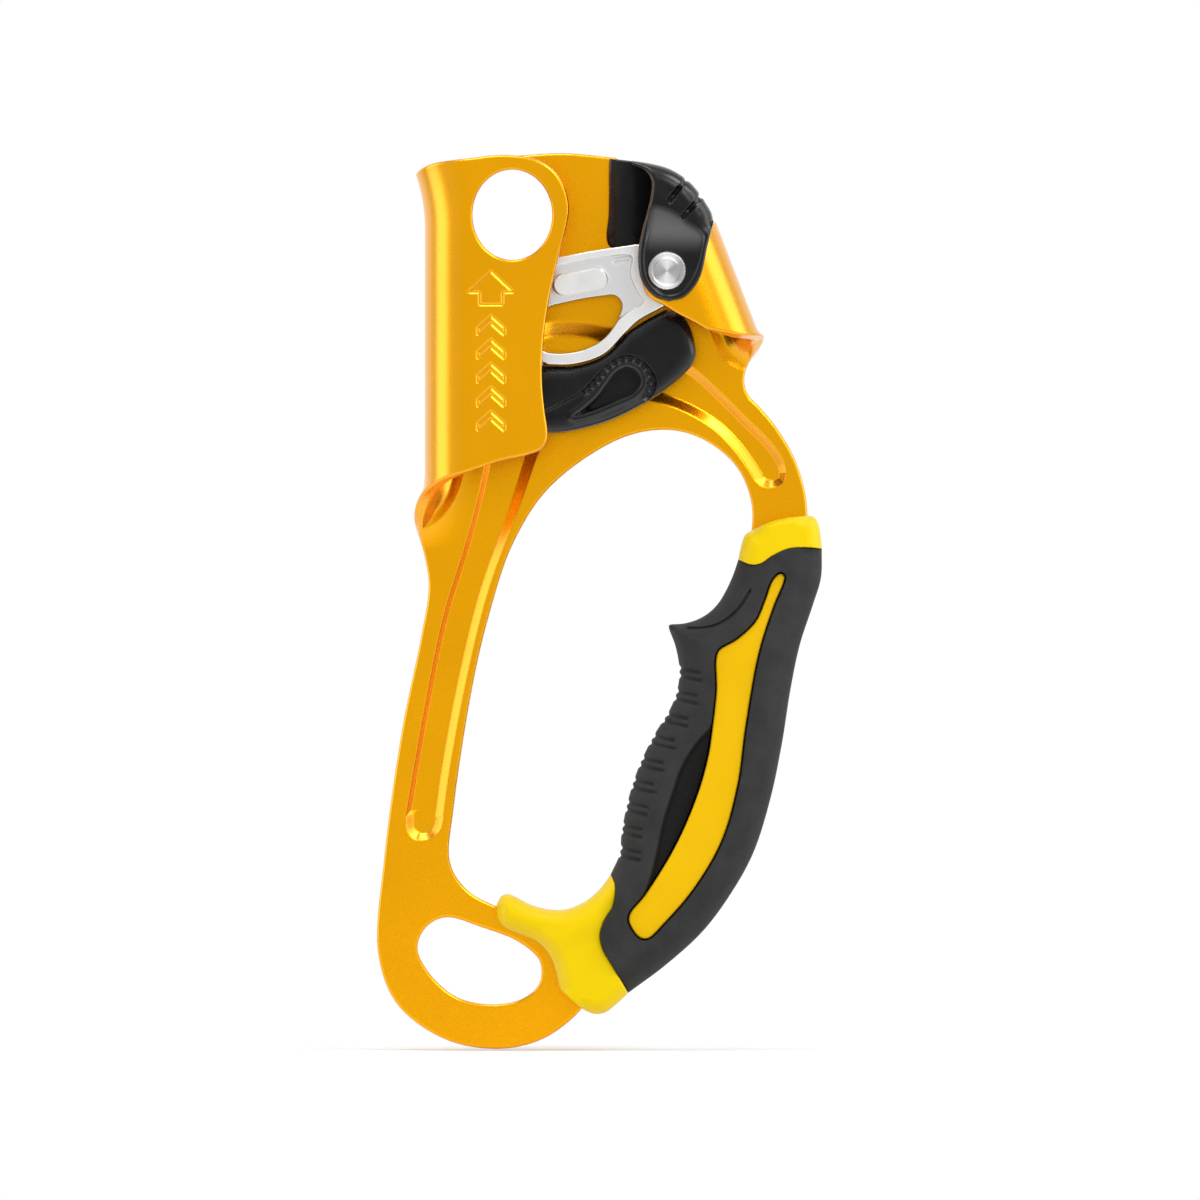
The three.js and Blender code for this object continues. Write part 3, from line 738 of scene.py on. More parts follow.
def cam_body():
    field = Region(join(smooth(CAM_FIELD, 0.4, closed=True)))
    badge_line = resample(BADGE, 0.35)
    badge = Line(badge_line)
    bars = Line(*[resample(bar, 0.4) for bar in BARS])
    tongue = Region(join([(2, -20.6), (2, -33), (18, -33), (16.4, -20.6), (2, -20.6)]))

    def in_tongue(points):
        return ramp((tongue.depth(points) + 0.1) / 0.5)

    def beside_badge(points):
        return bevel((badge.distance(points) - BADGE_RADIUS) / BADGE_STEP)

    def front(points):
        depth = CAM_FRONT + FIELD_DEPTH * field.share(points, FIELD_STEP)
        depth -= BADGE_HEIGHT * (1 - beside_badge(points))
        depth -= 0.4 * (1 - ramp((bars.distance(points) - 0.15) / 0.3))
        return depth + (TONGUE_FRONT - depth) * in_tongue(points)

    def back(points):
        hub = np.linalg.norm(points - AXLE, axis=1)
        depth = CAM_BACK - 0.45 * field.share(points, 0.4)
        depth = depth + (0.8 - depth) * (1 - ramp((hub - HUB_RELIEF) / 0.3))
        return depth + (TONGUE_BACK - depth) * in_tongue(points)

    extra = field.detail((0, 0.14, 0.28, 0.42)) + tongue.detail((-0.1, 0.1, 0.25, 0.4))
    for away in (2.08, 2.2, 2.32, 2.44, 2.56):
        ring = join(arc(badge_line[-1], away, -81, 99, 0.35), arc(badge_line[0], away, 99, 279, 0.35))
        extra.append(resample(np.vstack([ring, ring[:1]]), 0.35)[:-1])
    extra += [ellipse(AXLE, r, r) for r in (HUB_RELIEF, HUB_RELIEF + 0.15, HUB_RELIEF + 0.3)]
    for line in bars.lines:
        extra += rows_beside(line, (0.0, 0.15, -0.15, 0.3, -0.3, 0.45, -0.45))
    loops = [cam_outline(), join(smooth(CAM_WINDOW, closed=True))[::-1], ellipse(AXLE, 4.3, 4.3)[::-1],
             ellipse(PIN, 1.7, 1.7, step=0.4)[::-1]]
    # painted shade: the recessed field is marked to be darkened, except at the raised badge
    def field_painted_shade(points):
        return field.share(points, FIELD_STEP) * beside_badge(points)

    return moulded(loops, front, back, edge=0.4, grid=1.1, extra=extra, teeth=cam_teeth, tone=field_painted_shade)


# ---- Trigger ----

TRIGGER_TOP = [(5.4, -28.5), (5.6, -24.6), (8.6, -22), (16, -21), (22, -20.95), (28.3, -18.85),
               (32.1, -15.5)]
TRIGGER_NECK = [(32.1, -15.5), (33.8, -13.5), (38, -10.7), (42, -8.6)]
TRIGGER_END = [(42, -8.6), (45.4, -9.8), (47.2, -12.3), (48.2, -15.5), (48.5, -18.6), (47.5, -21.1)]
TRIGGER_FOOT = [(47.5, -21.1), (44, -24.5), (37, -29.2), (28, -33.4), (16.5, -35.5), (8.5, -33.6),
                (5.4, -28.5)]
POCKET = [(21.9, -31.8), (24, -30.2), (27, -27.5), (29, -24.8), (31, -22.2), (33.6, -21), (35.8, -22.1),
          (36.6, -24.4), (35, -26.8), (31, -28.7), (26, -30.8)]
RING = [(8, -33), (12.5, -31.4), (16.4, -30), (20, -28.2), (23.6, -26), (27, -22.3), (30.2, -19.4),
        (33.7, -18.2), (37, -19.4), (39.3, -21.8), (40.3, -24.4), (39.6, -26.9), (38, -29)]
PIPS = [(24.7, -27), (27.4, -24.2), (29.3, -21.6), (31.7, -20), (34.1, -19.5), (36.3, -20.4), (38, -22.4),
        (38.8, -25.2), (37.6, -27.9)]
SLOT_FRONT, SLOT_BACK = -2.65, 2.65
LAP = 0.04                            # how far each half reaches past the middle, into the other
CROWN = 0.9                           # fall from the crest of the front face to its sides
RING_DEPTH, RING_STEP = 1.35, 0.9
PIP_HEIGHT, PIP_RADIUS = 0.95, 0.82
POCKET_DEPTH, POCKET_STEP = 4.6, 1.5


def trigger_halves():
    """Two moulded halves that meet in the middle, with a slot between them for the cam's tongue."""
    outline = join(TRIGGER_TOP, TRIGGER_NECK, TRIGGER_END, TRIGGER_FOOT)
    pocket = Region(join(smooth(POCKET, 0.4, closed=True)))
    ring = Region(join(smooth(RING, 0.5), [(38, -29), (38, -40), (8, -40), (8, -33)]))
    pips = resample(smooth(PIPS), 1.62)
    crest = Line(smooth([(8, -27), (18, -24.5), (28, -20.5), (36, -14.5), (45, -12.5)]))

    def pip_height(points):
        height = np.zeros(len(points))
        for pip in pips:
            away = np.linalg.norm(points - pip, axis=1)
            height += PIP_HEIGHT * (1 - ramp(away / PIP_RADIUS))
        return height

    def front(points):
        into = pocket.depth(points)
        bead = np.exp(-((into + 0.7) / 0.6) ** 2)
        level = CROWN * ramp(crest.distance(points) / 10)
        level += RING_DEPTH * ring.share(points, RING_STEP) - 0.5 * bead * (into < 0.2) - pip_height(points)
        return TRIGGER_FRONT + level + POCKET_DEPTH * ramp(into / POCKET_STEP)

    slot = Region(join([(3, -16), (3, -31.5), (14.6, -31.5), (18.2, -27), (18.2, -16), (3, -16)]))

    def back(points):
        return np.full(len(points), TRIGGER_BACK)

    def slot_front(points):
        return LAP + (SLOT_FRONT - LAP) * ramp((slot.depth(points) + 0.1) / 0.25)

    def slot_back(points):
        return -LAP + (SLOT_BACK + LAP) * ramp((slot.depth(points) + 0.1) / 0.25)

    across = slot.detail((-0.1, 0.02, 0.15))
    extra = pocket.detail((-1.6, -1.2, -0.9, -0.6, -0.3, 0, 0.15, 0.4, 0.7, 1, 1.3, 1.5))
    extra += ring.detail((0, 0.2, 0.45, 0.7, 0.9))
    extra += [ellipse(pip, r, r, step=0.2) for pip in pips for r in (0.05, 0.22, 0.42, 0.62, PIP_RADIUS)]
    edge, loops = Line(outline, closed=True), [outline, ellipse(PIN, 1.7, 1.7, step=0.4)[::-1]]
    # painted highlight: the pips are marked to be painted lighter, by half their height
    near = moulded(loops, front, slot_front, rims=[Rim(edge, 3.4, 2.1, faces=(-1,))], grid=0.9,
                   extra=extra + across,
                   tone=lambda points: 0.5 * pip_height(points))
    far = moulded(loops, slot_back, back, rims=[Rim(edge, 2.9, 2.5, faces=(1,))], grid=1.1, extra=across)
    return near, far


# ---- Thumb cap ----

LOBE_LEFT = [(34.6, 22.9), (37.4, 21.6), (38.8, 19.4), (38.7, 16.4), (38, 13), (36.7, 8.2), (35.9, 3),
             (36.6, -2.3), (39.3, -5.8), (42.5, -6.95)]
LOBE_RIGHT = [(42.5, -6.95), (46, -6), (49.3, -2), (51, 5), (52.3, 10.4)]
CAP_ARCH = [(52.3, 10.4), (51.9, 12.3), (50.9, 14.1), (49.4, 16.4), (47.5, 18.7), (45, 20.7),
            (42.3, 22.1), (38.5, 23.1), (34.6, 23.7)]
CAP_NOTCHES = [((49.4, 15.9), (46.9, 13.1)), ((46.2, 19.3), (43.9, 16.2))]
CAP_SLITS = [[(44.7, 17.7), (42.7, 15)], [(48.1, 13.9), (45.7, 11.4)]]
ROOF_STEP = 0.8                       # the roof stops this far short of the rear wall's face
INNER_LEFT = [(29.7, 24.4), (29.6, 22), (29.5, 12), (29.1, 7.2), (29.7, 5.3), (31.2, 4.7)]
INNER_RIGHT = [(31.2, 4.7), (36.6, 5.6), (38.2, 8.5), (39, 14), (39.6, 22.75)]
FACET = [(38.9, 13.9), (41.6, 13.8), (44.9, 12.2), (47.2, 10.4), (49.8, 8.6), (50.6, 7.4), (50, 3),
         (48.4, -1.6), (45.6, -5.2), (42.3, -6.1), (39.9, -5.1), (37.4, -1.8), (36.8, 3), (37.7, 8.4)]


def cap_bodies():
    arch = smooth(CAP_ARCH, 0.4)
    notches = Line(*[resample(line, 0.3) for line in CAP_NOTCHES])
    outline = join(LOBE_LEFT, LOBE_RIGHT,
                   arch + sides(arch) * (1 - bevel(notches.distance(arch) / 0.8))[:, None])
    hole = ellipse(AXLE, 4.2, 4.2)[::-1]
    facet = Region(join(smooth(FACET, 0.45, closed=True)))
    slits = Line(*[resample(line, 0.3) for line in CAP_SLITS])
    flange_front = -BEND_OUT - GAP
    inner_back = BEND_OUT - SHEET - GAP
    block = Region(join([(30, 26), (36.9, 8.35), (43, 8.35), (52.1, 11.3), (56, 20), (44, 28), (30, 26)]))
    roof = Region(join([(34.5, 30), (35.5, 23.6), (38.5, 22), (43.2, 17.9), (47.2, 11.5), (56, 11.5),
                        (60, 30), (34.5, 30)]))

    def front(points):
        hollow = 0.35 + 0.75 * ramp((points[:, 1] - 5) / 7)
        depth = CAP_FRONT + hollow * facet.share(points, 0.8)
        depth += 0.45 * (1 - ramp((notches.distance(points) - 0.2) / 0.5))
        return depth + 1.1 * (1 - ramp((slits.distance(points) - 0.25) / 0.3))

    # painted highlight: the facet's colour is marked to be lightened, more toward its top
    def facet_painted_highlight(points):
        return facet.share(points, 1.5) * ramp((points[:, 1] - 3) / 6)

    def back(points):
        depth = np.full(len(points), flange_front)
        depth += (inner_back - depth) * ramp(block.depth(points) / 0.2)
        return depth + (CAP_BACK - ROOF_STEP - depth) * ramp(roof.depth(points) / 0.2)

    extra = facet.detail((0, 0.2, 0.4, 0.6, 0.8, 1.3)) + block.detail((0, 0.1, 0.2))
    extra += roof.detail((0, 0.1, 0.2))
    for line in slits.lines:
        extra += rows_beside(line, (0, 0.12, -0.12, 0.25, -0.25, 0.37, -0.37, 0.5, -0.5))
    front_only = (-1,)
    rims = [Rim(Line(arch), 3.8, 3.6, front_only), Rim(Line(smooth(LOBE_LEFT)), 1.1, 1.1, front_only),
            Rim(Line(smooth(LOBE_RIGHT)), 0.8, 0.8, front_only), Rim(Line(hole, closed=True), 0.35)]
    front_body = moulded([outline, hole], front, back, rims=rims, grid=0.8, extra=extra, tone=facet_painted_highlight)

    panel = join(INNER_LEFT, INNER_RIGHT, [(39.6, 22.75), (35, 23.75), (29.7, 24.4)])

    def panel_front(points):
        return inner_back - 2.4 + 0.06 * (points[:, 0] - 34.2) ** 2 + 0.5 * ramp((9 - points[:, 1]) / 4)

    panel_body = moulded([panel], panel_front, lambda p: np.full(len(p), inner_back), edge=0.55, grid=1.0)

    def rear(points):
        return CAP_BACK - 0.35 * facet.share(points, 0.9)

    rear_body = moulded([outline, hole], lambda p: np.full(len(p), BEND_OUT + GAP), rear, edge=0.6,
                        grid=1.1,
                        extra=facet.detail((0, 0.2, 0.45, 0.7, 0.9)))
    return front_body, panel_body, rear_body


# ---- Grip ----

FINGER_SIDE = [(57.8, -63), (56.8, -66), (55.5, -69), (53.6, -72.3), (51.5, -74.5), (49, -76),
               (46, -76.9), (43.3, -77.1)]
HORN_TIP = [(43.3, -77.1), (42.7, -77.3), (42.7, -78), (43.2, -79.4)]
HORN_UNDER = [(43.2, -79.4), (44, -81.5), (44.9, -86), (44.9, -89), (44.2, -92.5), (42.7, -96),
              (39.6, -101), (36.6, -107), (34.6, -112.5), (33.3, -117.5), (32.3, -123), (32, -127),
              (30, -131.6)]
PALM_SIDE = [(33.8, -157.4), (42, -151.3), (50, -144), (56, -136), (61, -127), (64.8, -115), (67.3, -103),
             (69.2, -91), (71.2, -81.5), (74, -73), (75.8, -67), (76, -60.6)]
GUARD_JOINT = [(30, -131.6), (31, -134), (30.5, -138.5), (28.6, -141.6), (27.7, -145), (28.4, -148),
               (30, -150.8), (33.8, -157.4)]
COLLAR_JOINT = [(76, -60.6), (72, -60.3), (68.5, -60.7), (65, -62.3), (62.8, -63.8), (60.6, -64.1),
                (57.8, -63)]
WINDOW = [(66.9, -66), (65.2, -67.6), (63.6, -71.8), (61.5, -76.5), (57.4, -80.4), (53.6, -82.7),
          (52.9, -84.5), (53, -91), (52.3, -98), (51.2, -106), (48.6, -115), (44, -125.5), (37.6, -135.8),
          (34.1, -140.2), (34, -142), (36.2, -145.2), (38, -145.5), (41.6, -142.2), (48, -134.7),
          (54, -124.5), (57.5, -112.5), (59.4, -99), (62.2, -83.4), (65.5, -73), (67.6, -68), (67.8, -66.6)]
CRESCENT = [(53.2, -95), (51.4, -99), (48, -103), (45, -108), (42.9, -114), (41, -120), (39.5, -127),
            (37.5, -134), (35, -139.6)]
HORN_SLIT = [(46.8, -78), (50, -77.9), (53, -77.2), (56, -75.4), (58.3, -73), (60.3, -69.8)]
RIB_PADS = [(47.9, -88), (47.1, -93), (45.1, -98), (42.3, -102.8), (39.7, -107.6), (37.7, -112.3),
            (36.3, -117.2), (35.2, -122.1), (34.7, -127.1)]


def rib_lines():
    """Two short grooves at each rib, from the finger side inward."""
    lines = []
    for x, z in RIB_PADS:
        for up in (0.85, -0.85):
            lines.append(resample([(x - 4.6, z + up + 0.9), (x + 1.4, z + up - 0.45)], 0.3))
    return lines


def scalloped(line):
    """The finger side, nicked where each groove crosses it."""
    nicks = Line(*rib_lines())
    depth = 0.42 * (1 - ramp(nicks.distance(line) / 0.75))
    return line + sides(line) * depth[:, None]


def grip_swell(points):
    """Half the rubber's depth along the grip, before its sides round off."""
    z = points[:, 1]
    thinner_top = 2.4 * (1 - ramp((-62 - z) / 24))
    thinner_foot = 1.3 * ramp((-138 - z) / 18)
    return GRIP_HALF - thinner_top - thinner_foot


RECESS, STRIP_LOW = 2.2, 0.75         # depth of the strip's recess, and of its face under the rubber


def both_ways(outline, half, rims, grid, **options):
    """A body that swells by half(points) to the front and the back of the grip's middle."""
    return moulded([outline], lambda p: GRIP_MIDDLE - half(p), lambda p: GRIP_MIDDLE + half(p), rims=rims,
                   grid=grid, **options)


def rubber_body():
    finger = [smooth(FINGER_SIDE, 0.5), smooth(HORN_TIP, 0.3), scalloped(smooth(HORN_UNDER, 0.35))]
    palm = smooth(PALM_SIDE)
    outline = join(*finger, GUARD_JOINT, palm, COLLAR_JOINT)
    window = Region(grown(join(smooth(WINDOW, 0.5, closed=True)), SHUT_LINE))
    crescent_line = smooth(CRESCENT, 0.4)
    crescent = Region(join(crescent_line, [(35, -139.6), (44, -128), (51, -110), (54, -96), (53.2, -95)]))
    bank = Line(crescent_line)
    slit = Line(smooth(HORN_SLIT, 0.3))
    ribs = Line(*rib_lines())

    def half(points):
        depth = grip_swell(points)
        within = crescent.depth(points) > 0
        if within.any():
            away = bank.distance(points[within])
            depth[within] -= 1.5 * ramp(away / 1.3) + 1.2 * ramp(away / 7)
        depth -= 0.9 * (1 - ramp((slit.distance(points) - 0.1) / 0.3))
        depth -= 0.65 * (1 - ramp((ribs.distance(points) - 0.1) / 0.34))
        return depth - RECESS * ramp(window.depth(points) / 0.4)

    # painted shade: the crescent recess and the rubber under the strip are marked to be darkened
    def hollow_painted_shade(points):
        return np.maximum(ramp(crescent.depth(points) / 0.6), ramp(window.depth(points) / 0.2))

    rims = [
        Rim(Line(*finger), 6.5, 7.5), Rim(Line(palm), 7.5, 7.5),
        Rim(Line(smooth(GUARD_JOINT), smooth(COLLAR_JOINT)), 0.5),
    ]
    extra = window.detail((-0.3, 0, 0.15, 0.3, 0.4))
    extra += rows_beside(slit.lines[0], (0, 0.1, -0.1, 0.25, -0.25, 0.4, -0.4))
    for line in ribs.lines:
        extra += rows_beside(line, (0, 0.08, -0.08, 0.25, -0.25, 0.42, -0.42))
    away = (0.25, 0.5, 0.8, 1.1, 1.5, 2.2)
    across = [0] + [side * d for d in away for side in (1, -1)]
    extra += rows_beside(crescent_line, across)
    return both_ways(outline, half, rims, 1.0, extra=extra, tone=hollow_painted_shade)


COLLAR_LEFT = [(57.8, -63), (58.2, -61), (58.7, -59), (59.4, -57.5), (60.8, -56.6)]
COLLAR_TOP = [(60.8, -56.6), (64, -55), (68, -53.9), (73, -53.4)]
COLLAR_RIGHT = [(73, -53.4), (74.2, -53.7), (75, -54.7), (75.6, -57), (76, -60.6)]

GUARD_UPPER = [(30, -131.6), (28, -134.4), (25.5, -136.8), (23, -138.3), (20, -139.3), (18, -139.4),
               (15, -139), (12, -138), (9, -136.4), (7.5, -135.9), (6.1, -136.4), (5.2, -138)]
GUARD_TIP = [(5.2, -138), (5.1, -140), (5.7, -142), (7.2, -143.3), (10, -144.5), (13.5, -146),
             (15.7, -147.8), (17.2, -150.2), (18.1, -153), (18.7, -156.3)]
GUARD_FOOT = [(18.7, -156.3), (21.5, -158.9), (24.2, -161.1)]
GUARD_HEEL = [(24.2, -161.1), (26.2, -161.9), (28.6, -161.7), (31, -160), (33.8, -157.4)]


def collar_body():
    sides = COLLAR_LEFT, COLLAR_TOP, COLLAR_RIGHT, COLLAR_JOINT
    left, top, right, foot = (smooth(line) for line in sides)
    outline = join(left, top, right, foot)
    rims = [Rim(Line(left), 4.5, 3.6), Rim(Line(top), 1.8, 2.2), Rim(Line(right), 3.5, 3.6),
            Rim(Line(foot), 0.3)]

    def half(points):
        return 9.3 - 0.3 * ramp((points[:, 1] + 62) / 8)

    return both_ways(outline, half, rims, 0.8)


def guard_body():
    upper, tip, foot, heel = (smooth(line) for line in (GUARD_UPPER, GUARD_TIP, GUARD_FOOT, GUARD_HEEL))
    joint = smooth(GUARD_JOINT)
    outline = join(upper, tip, foot, heel, joint[::-1])
    ridge = Line(smooth([(15.5, -147.5), (19, -145.5), (22.5, -143.6), (27, -141.8)]))
    rims = [Rim(Line(upper, tip), 3.4, 4.2), Rim(Line(heel), 3, 3.6), Rim(Line(foot), 0.6),
            Rim(Line(joint), 0.4)]

    def half(points):
        along = ramp((points[:, 0] - 5) / 22)
        return 7.0 + 2.9 * along + 0.5 * (1 - ramp(ridge.distance(points) / 4))

    return both_ways(outline, half, rims, 0.9)


def strip_bodies():
    """The strip in the front recess and the one in the back."""
    outline = join(smooth(WINDOW, 0.5, closed=True))
    edge = Line(outline, closed=True)

    def level(side, low):
        return lambda p: GRIP_MIDDLE + side * (grip_swell(p) - low)

    near = moulded([outline], level(-1, STRIP_LOW), level(-1, RECESS), rims=[Rim(edge, 0.45, faces=(-1,))],
                   grid=1.6)
    far = moulded([outline], level(1, RECESS), level(1, STRIP_LOW), rims=[Rim(edge, 0.45, faces=(1,))],
                  grid=1.6)
    return near, far


# ---- Axle, washers, bush, pin and springs ----


def chamfered(inner, outer, front, back, cut=0.15):
    """The profile of a ring with small chamfers."""
    return [(inner, front + cut), (inner + cut, front), (outer - cut, front), (outer, front + cut),
            (outer, back - cut), (outer - cut, back), (inner + cut, back), (inner, back - cut)]


def axle_profile():
    """The rivet: a turned head at the front and a staked end at the back."""
    front, back = depths("cam_axle")
    return [(0, front + 0.14), (2.7, front + 0.08), (2.85, front + 0.2), (3.05, front + 0.06), (3.7, front),
            (3.95, front + 0.06), (4.12, front + 0.25), (4.15, front + 0.5), (4.15, front + 1.6),
            (3, front + 1.6),
            (3, back - 0.35), (2.9, back - 0.12), (2.65, back), (2.3, back - 0.02), (2, back - 0.25),
            (0, back - 0.3)]


def pin_profile():
    """The trigger pin, with a dimple in its front end."""
    front, back = depths("trigger_pin")
    return [(0, front + 0.12), (0.75, front + 0.1), (0.9, front), (1.2, front), (1.4, front + 0.2),
            (1.4, back - 0.2), (1.2, back), (0, back)]


def coil(node, centre, mean, wire, turns):
    """A closely wound torsion spring that fills its CAD node's depth."""
    front, back = depths(node)
    angles = np.linspace(0, turns * 2 * math.pi, round(turns * 48))
    middle = np.linspace(front + wire, back - wire, len(angles))
    path = np.column_stack([centre[0] + mean * np.cos(angles), middle, centre[1] + mean * np.sin(angles)])
    return swept(path, wire)


# ---- Materials ----


class Finish:
    """A procedural material on one Principled shader. Lengths in it are in metres."""

    def __init__(self, name, metallic, **values):
        self.material = bpy.data.materials.new(name)
        self.material.use_nodes = True
        self.tree = self.material.node_tree
        self.shader = self.tree.nodes["Principled BSDF"]
        self.shader.inputs["Metallic"].default_value = metallic
        for socket, value in values.items():
            self.shader.inputs[socket.replace("_", " ")].default_value = value
        self.place = self.tree.nodes.new("ShaderNodeTexCoord").outputs["Object"]

    def node(self, kind, inputs=(), **settings):
        made = self.tree.nodes.new(kind)
        for key, value in settings.items():
            setattr(made, key, value)
        for socket, value in dict(inputs).items():
            if isinstance(value, bpy.types.NodeSocket):
                self.tree.links.new(value, made.inputs[socket])
            else:
                made.inputs[socket].default_value = value
        return made

    def noise(self, size, detail=3, stretch=None):
        """Noise whose grains are about that many metres wide."""
        place = self.place
        if stretch:
            place = self.node("ShaderNodeMapping", {"Vector": place, "Scale": stretch}).outputs["Vector"]
        inputs = {"Vector": place, "Scale": 1 / size, "Detail": detail}
        return self.node("ShaderNodeTexNoise", inputs).outputs["Fac"]

    def spread(self, value, low, high, start=0.3, end=0.7):
        """A value from 0 to 1 mapped to low and high."""
        inputs = {"Value": value, "From Min": start, "From Max": end, "To Min": low, "To Max": high}
        return self.node("ShaderNodeMapRange", inputs).outputs["Result"]

    def blend(self, factor, first, second):
        """Between two colours, or links to them."""
        made = self.node("ShaderNodeMix", {0: factor}, data_type="RGBA")
        for socket, value in ((6, first), (7, second)):
            if isinstance(value, bpy.types.NodeSocket):
                self.tree.links.new(value, made.inputs[socket])
            else:
                made.inputs[socket].default_value = (*value, 1)
        return made.outputs[2]

    def bump(self, *layers):
        """Fine relief from (height from 0 to 1, depth in metres) layers."""
        normal = None
        for height, depth in layers:
            inputs = {"Height": height, "Distance": depth, "Strength": 1.0}
            if normal:
                inputs["Normal"] = normal
            normal = self.node("ShaderNodeBump", inputs).outputs["Normal"]
        self.set("Normal", normal)

    def attribute(self, name):
        return self.node("ShaderNodeAttribute", attribute_name=name).outputs["Fac"]

    def turned_away(self, low, high, start=0.02, end=0.3):
        """From low where the surface faces the viewer to high where it slopes away."""
        facing = self.node("ShaderNodeLayerWeight", {"Blend": 0.5}).outputs["Facing"]
        return self.spread(facing, low, high, start, end)

    def set(self, socket, value):
        self.tree.links.new(value, self.shader.inputs[socket])


def anodised():
    f = Finish("anodised_gold", 1.0, Coat_Roughness=0.16)
    cloud = f.spread(f.noise(0.02, 2), 0, 1)
    grain = f.noise(0.00025, 2)
    f.set("Base Color", f.blend(cloud, (0.95, 0.425, 0.002), (0.90, 0.40, 0.002)))
    f.set("Roughness", f.spread(grain, 0.26, 0.34))
    f.set("Coat Weight", f.turned_away(0.05, 0.75, 0.01, 0.2))
    f.bump((grain, 0.000004), (f.noise(0.0012, 3), 0.000003))
    return f.material


def bright_steel():
    f = Finish("cast_steel", 1.0)
    cloud = f.spread(f.noise(0.006, 3), 0, 1)
    grain = f.noise(0.0003, 3)
    plain = f.blend(cloud, (0.92, 0.92, 0.91), (0.82, 0.82, 0.82))
    # painted shade: where the painted-light attribute is set (the cam's recessed field), the steel colour
    # is darkened
    f.set("Base Color", f.blend(f.attribute("tone"), plain, (0.76, 0.76, 0.76)))
    f.set("Roughness", f.spread(grain, 0.26, 0.42))
    f.bump((grain, 0.000012), (f.noise(0.001, 3), 0.00001))
    return f.material


def turned_steel():
    f = Finish("turned_steel", 1.0, Anisotropic=0.75)
    offset = f.node("ShaderNodeVectorMath", {0: f.place, 1: (AXLE[0] * MM, 0, AXLE[1] * MM)},
                    operation="SUBTRACT")
    flat = f.node("ShaderNodeVectorMath", {0: offset.outputs[0], 1: (1, 0, 1)}, operation="MULTIPLY")
    radius = f.node("ShaderNodeVectorMath", {0: flat.outputs[0]}, operation="LENGTH").outputs["Value"]
    around = f.node("ShaderNodeVectorMath", {0: (0, 1, 0), 1: flat.outputs[0]}, operation="CROSS_PRODUCT")
    tangent = f.node("ShaderNodeVectorMath", {0: around.outputs[0]}, operation="NORMALIZE")
    f.set("Tangent", tangent.outputs[0])
    scaled = f.node("ShaderNodeMath", {0: radius, 1: 9000.0}, operation="MULTIPLY").outputs[0]
    rings = f.node("ShaderNodeTexNoise", {"W": scaled, "Scale": 1.0, "Detail": 3},
                   noise_dimensions="1D").outputs["Fac"]
    # painted highlight: a bright two-lobed fan about the axle, over darker sectors, stands in for the
    # turned head's anisotropic highlight
    parts = f.node("ShaderNodeSeparateXYZ", {0: flat.outputs[0]})
    angle = f.node("ShaderNodeMath", {0: parts.outputs["Z"], 1: parts.outputs["X"]},
                   operation="ARCTAN2").outputs[0]
    twice = f.node("ShaderNodeMath", {0: angle, 1: 2.0, 2: -3.0}, operation="MULTIPLY_ADD").outputs[0]
    wave = f.node("ShaderNodeMath", {0: twice}, operation="COSINE").outputs[0]
    painted_highlight_fan = f.node("ShaderNodeMapRange", {"Value": wave, "From Min": -0.4, "From Max": 1.0}).outputs["Result"]
    dark = f.blend(f.spread(rings, 0, 1), (0.50, 0.50, 0.50), (0.40, 0.40, 0.41))
    f.set("Base Color", f.blend(painted_highlight_fan, dark, (0.95, 0.95, 0.95)))
    f.set("Roughness", f.spread(rings, 0.22, 0.36))
    f.bump((rings, 0.000006))
    return f.material


def drawn_steel():
    f = Finish("drawn_steel", 1.0)
    grain = f.noise(0.0003, 3)
    f.set("Base Color", f.blend(f.spread(f.noise(0.002, 3), 0, 1), (0.66, 0.66, 0.66), (0.52, 0.52, 0.53)))
    f.set("Roughness", f.spread(grain, 0.24, 0.38))
    f.bump((grain, 0.000006))
    return f.material


def bronze():
    f = Finish("bush_bronze_plain", 1.0)
    grain = f.noise(0.0004, 3)
    f.set("Base Color", f.blend(f.spread(f.noise(0.003, 3), 0, 1), (0.60, 0.36, 0.15), (0.50, 0.28, 0.11)))
    f.set("Roughness", f.spread(grain, 0.3, 0.45))
    f.bump((grain, 0.000008))
    return f.material


def black_nylon():
    f = Finish("black_nylon", 0.0, IOR=1.5, Specular_IOR_Level=0.16, Coat_Roughness=0.22)
    cloud = f.spread(f.noise(0.004, 3), 0, 1)
    grain = f.noise(0.00035, 3)
    tone = f.attribute("tone")
    plain = f.blend(cloud, (0.005, 0.005, 0.006), (0.009, 0.009, 0.010))
    # painted highlight: lighter grey where the painted-light attribute is set, on the trigger's pips and
    # the upper part of the cap's facet
    f.set("Base Color", f.blend(tone, plain, (0.10, 0.10, 0.101)))
    f.set("Roughness", f.spread(grain, 0.24, 0.34))
    f.set("Coat Weight", f.turned_away(0.0, 0.8, 0.005, 0.2))
    f.bump((grain, 0.00001), (f.noise(0.0015, 2), 0.000012))
    return f.material


def yellow_plastic(name, colour, deeper):
    f = Finish(name, 0.0, IOR=1.46, Specular_IOR_Level=0.07, Coat_Roughness=0.3)
    cloud = f.spread(f.noise(0.012, 2), 0, 1)
    grain = f.noise(0.0004, 3)
    f.set("Base Color", f.blend(cloud, colour, deeper))
    f.set("Roughness", f.spread(grain, 0.36, 0.48))
    f.set("Coat Weight", f.turned_away(0.0, 0.4))
    f.bump((grain, 0.000006))
    return f.material


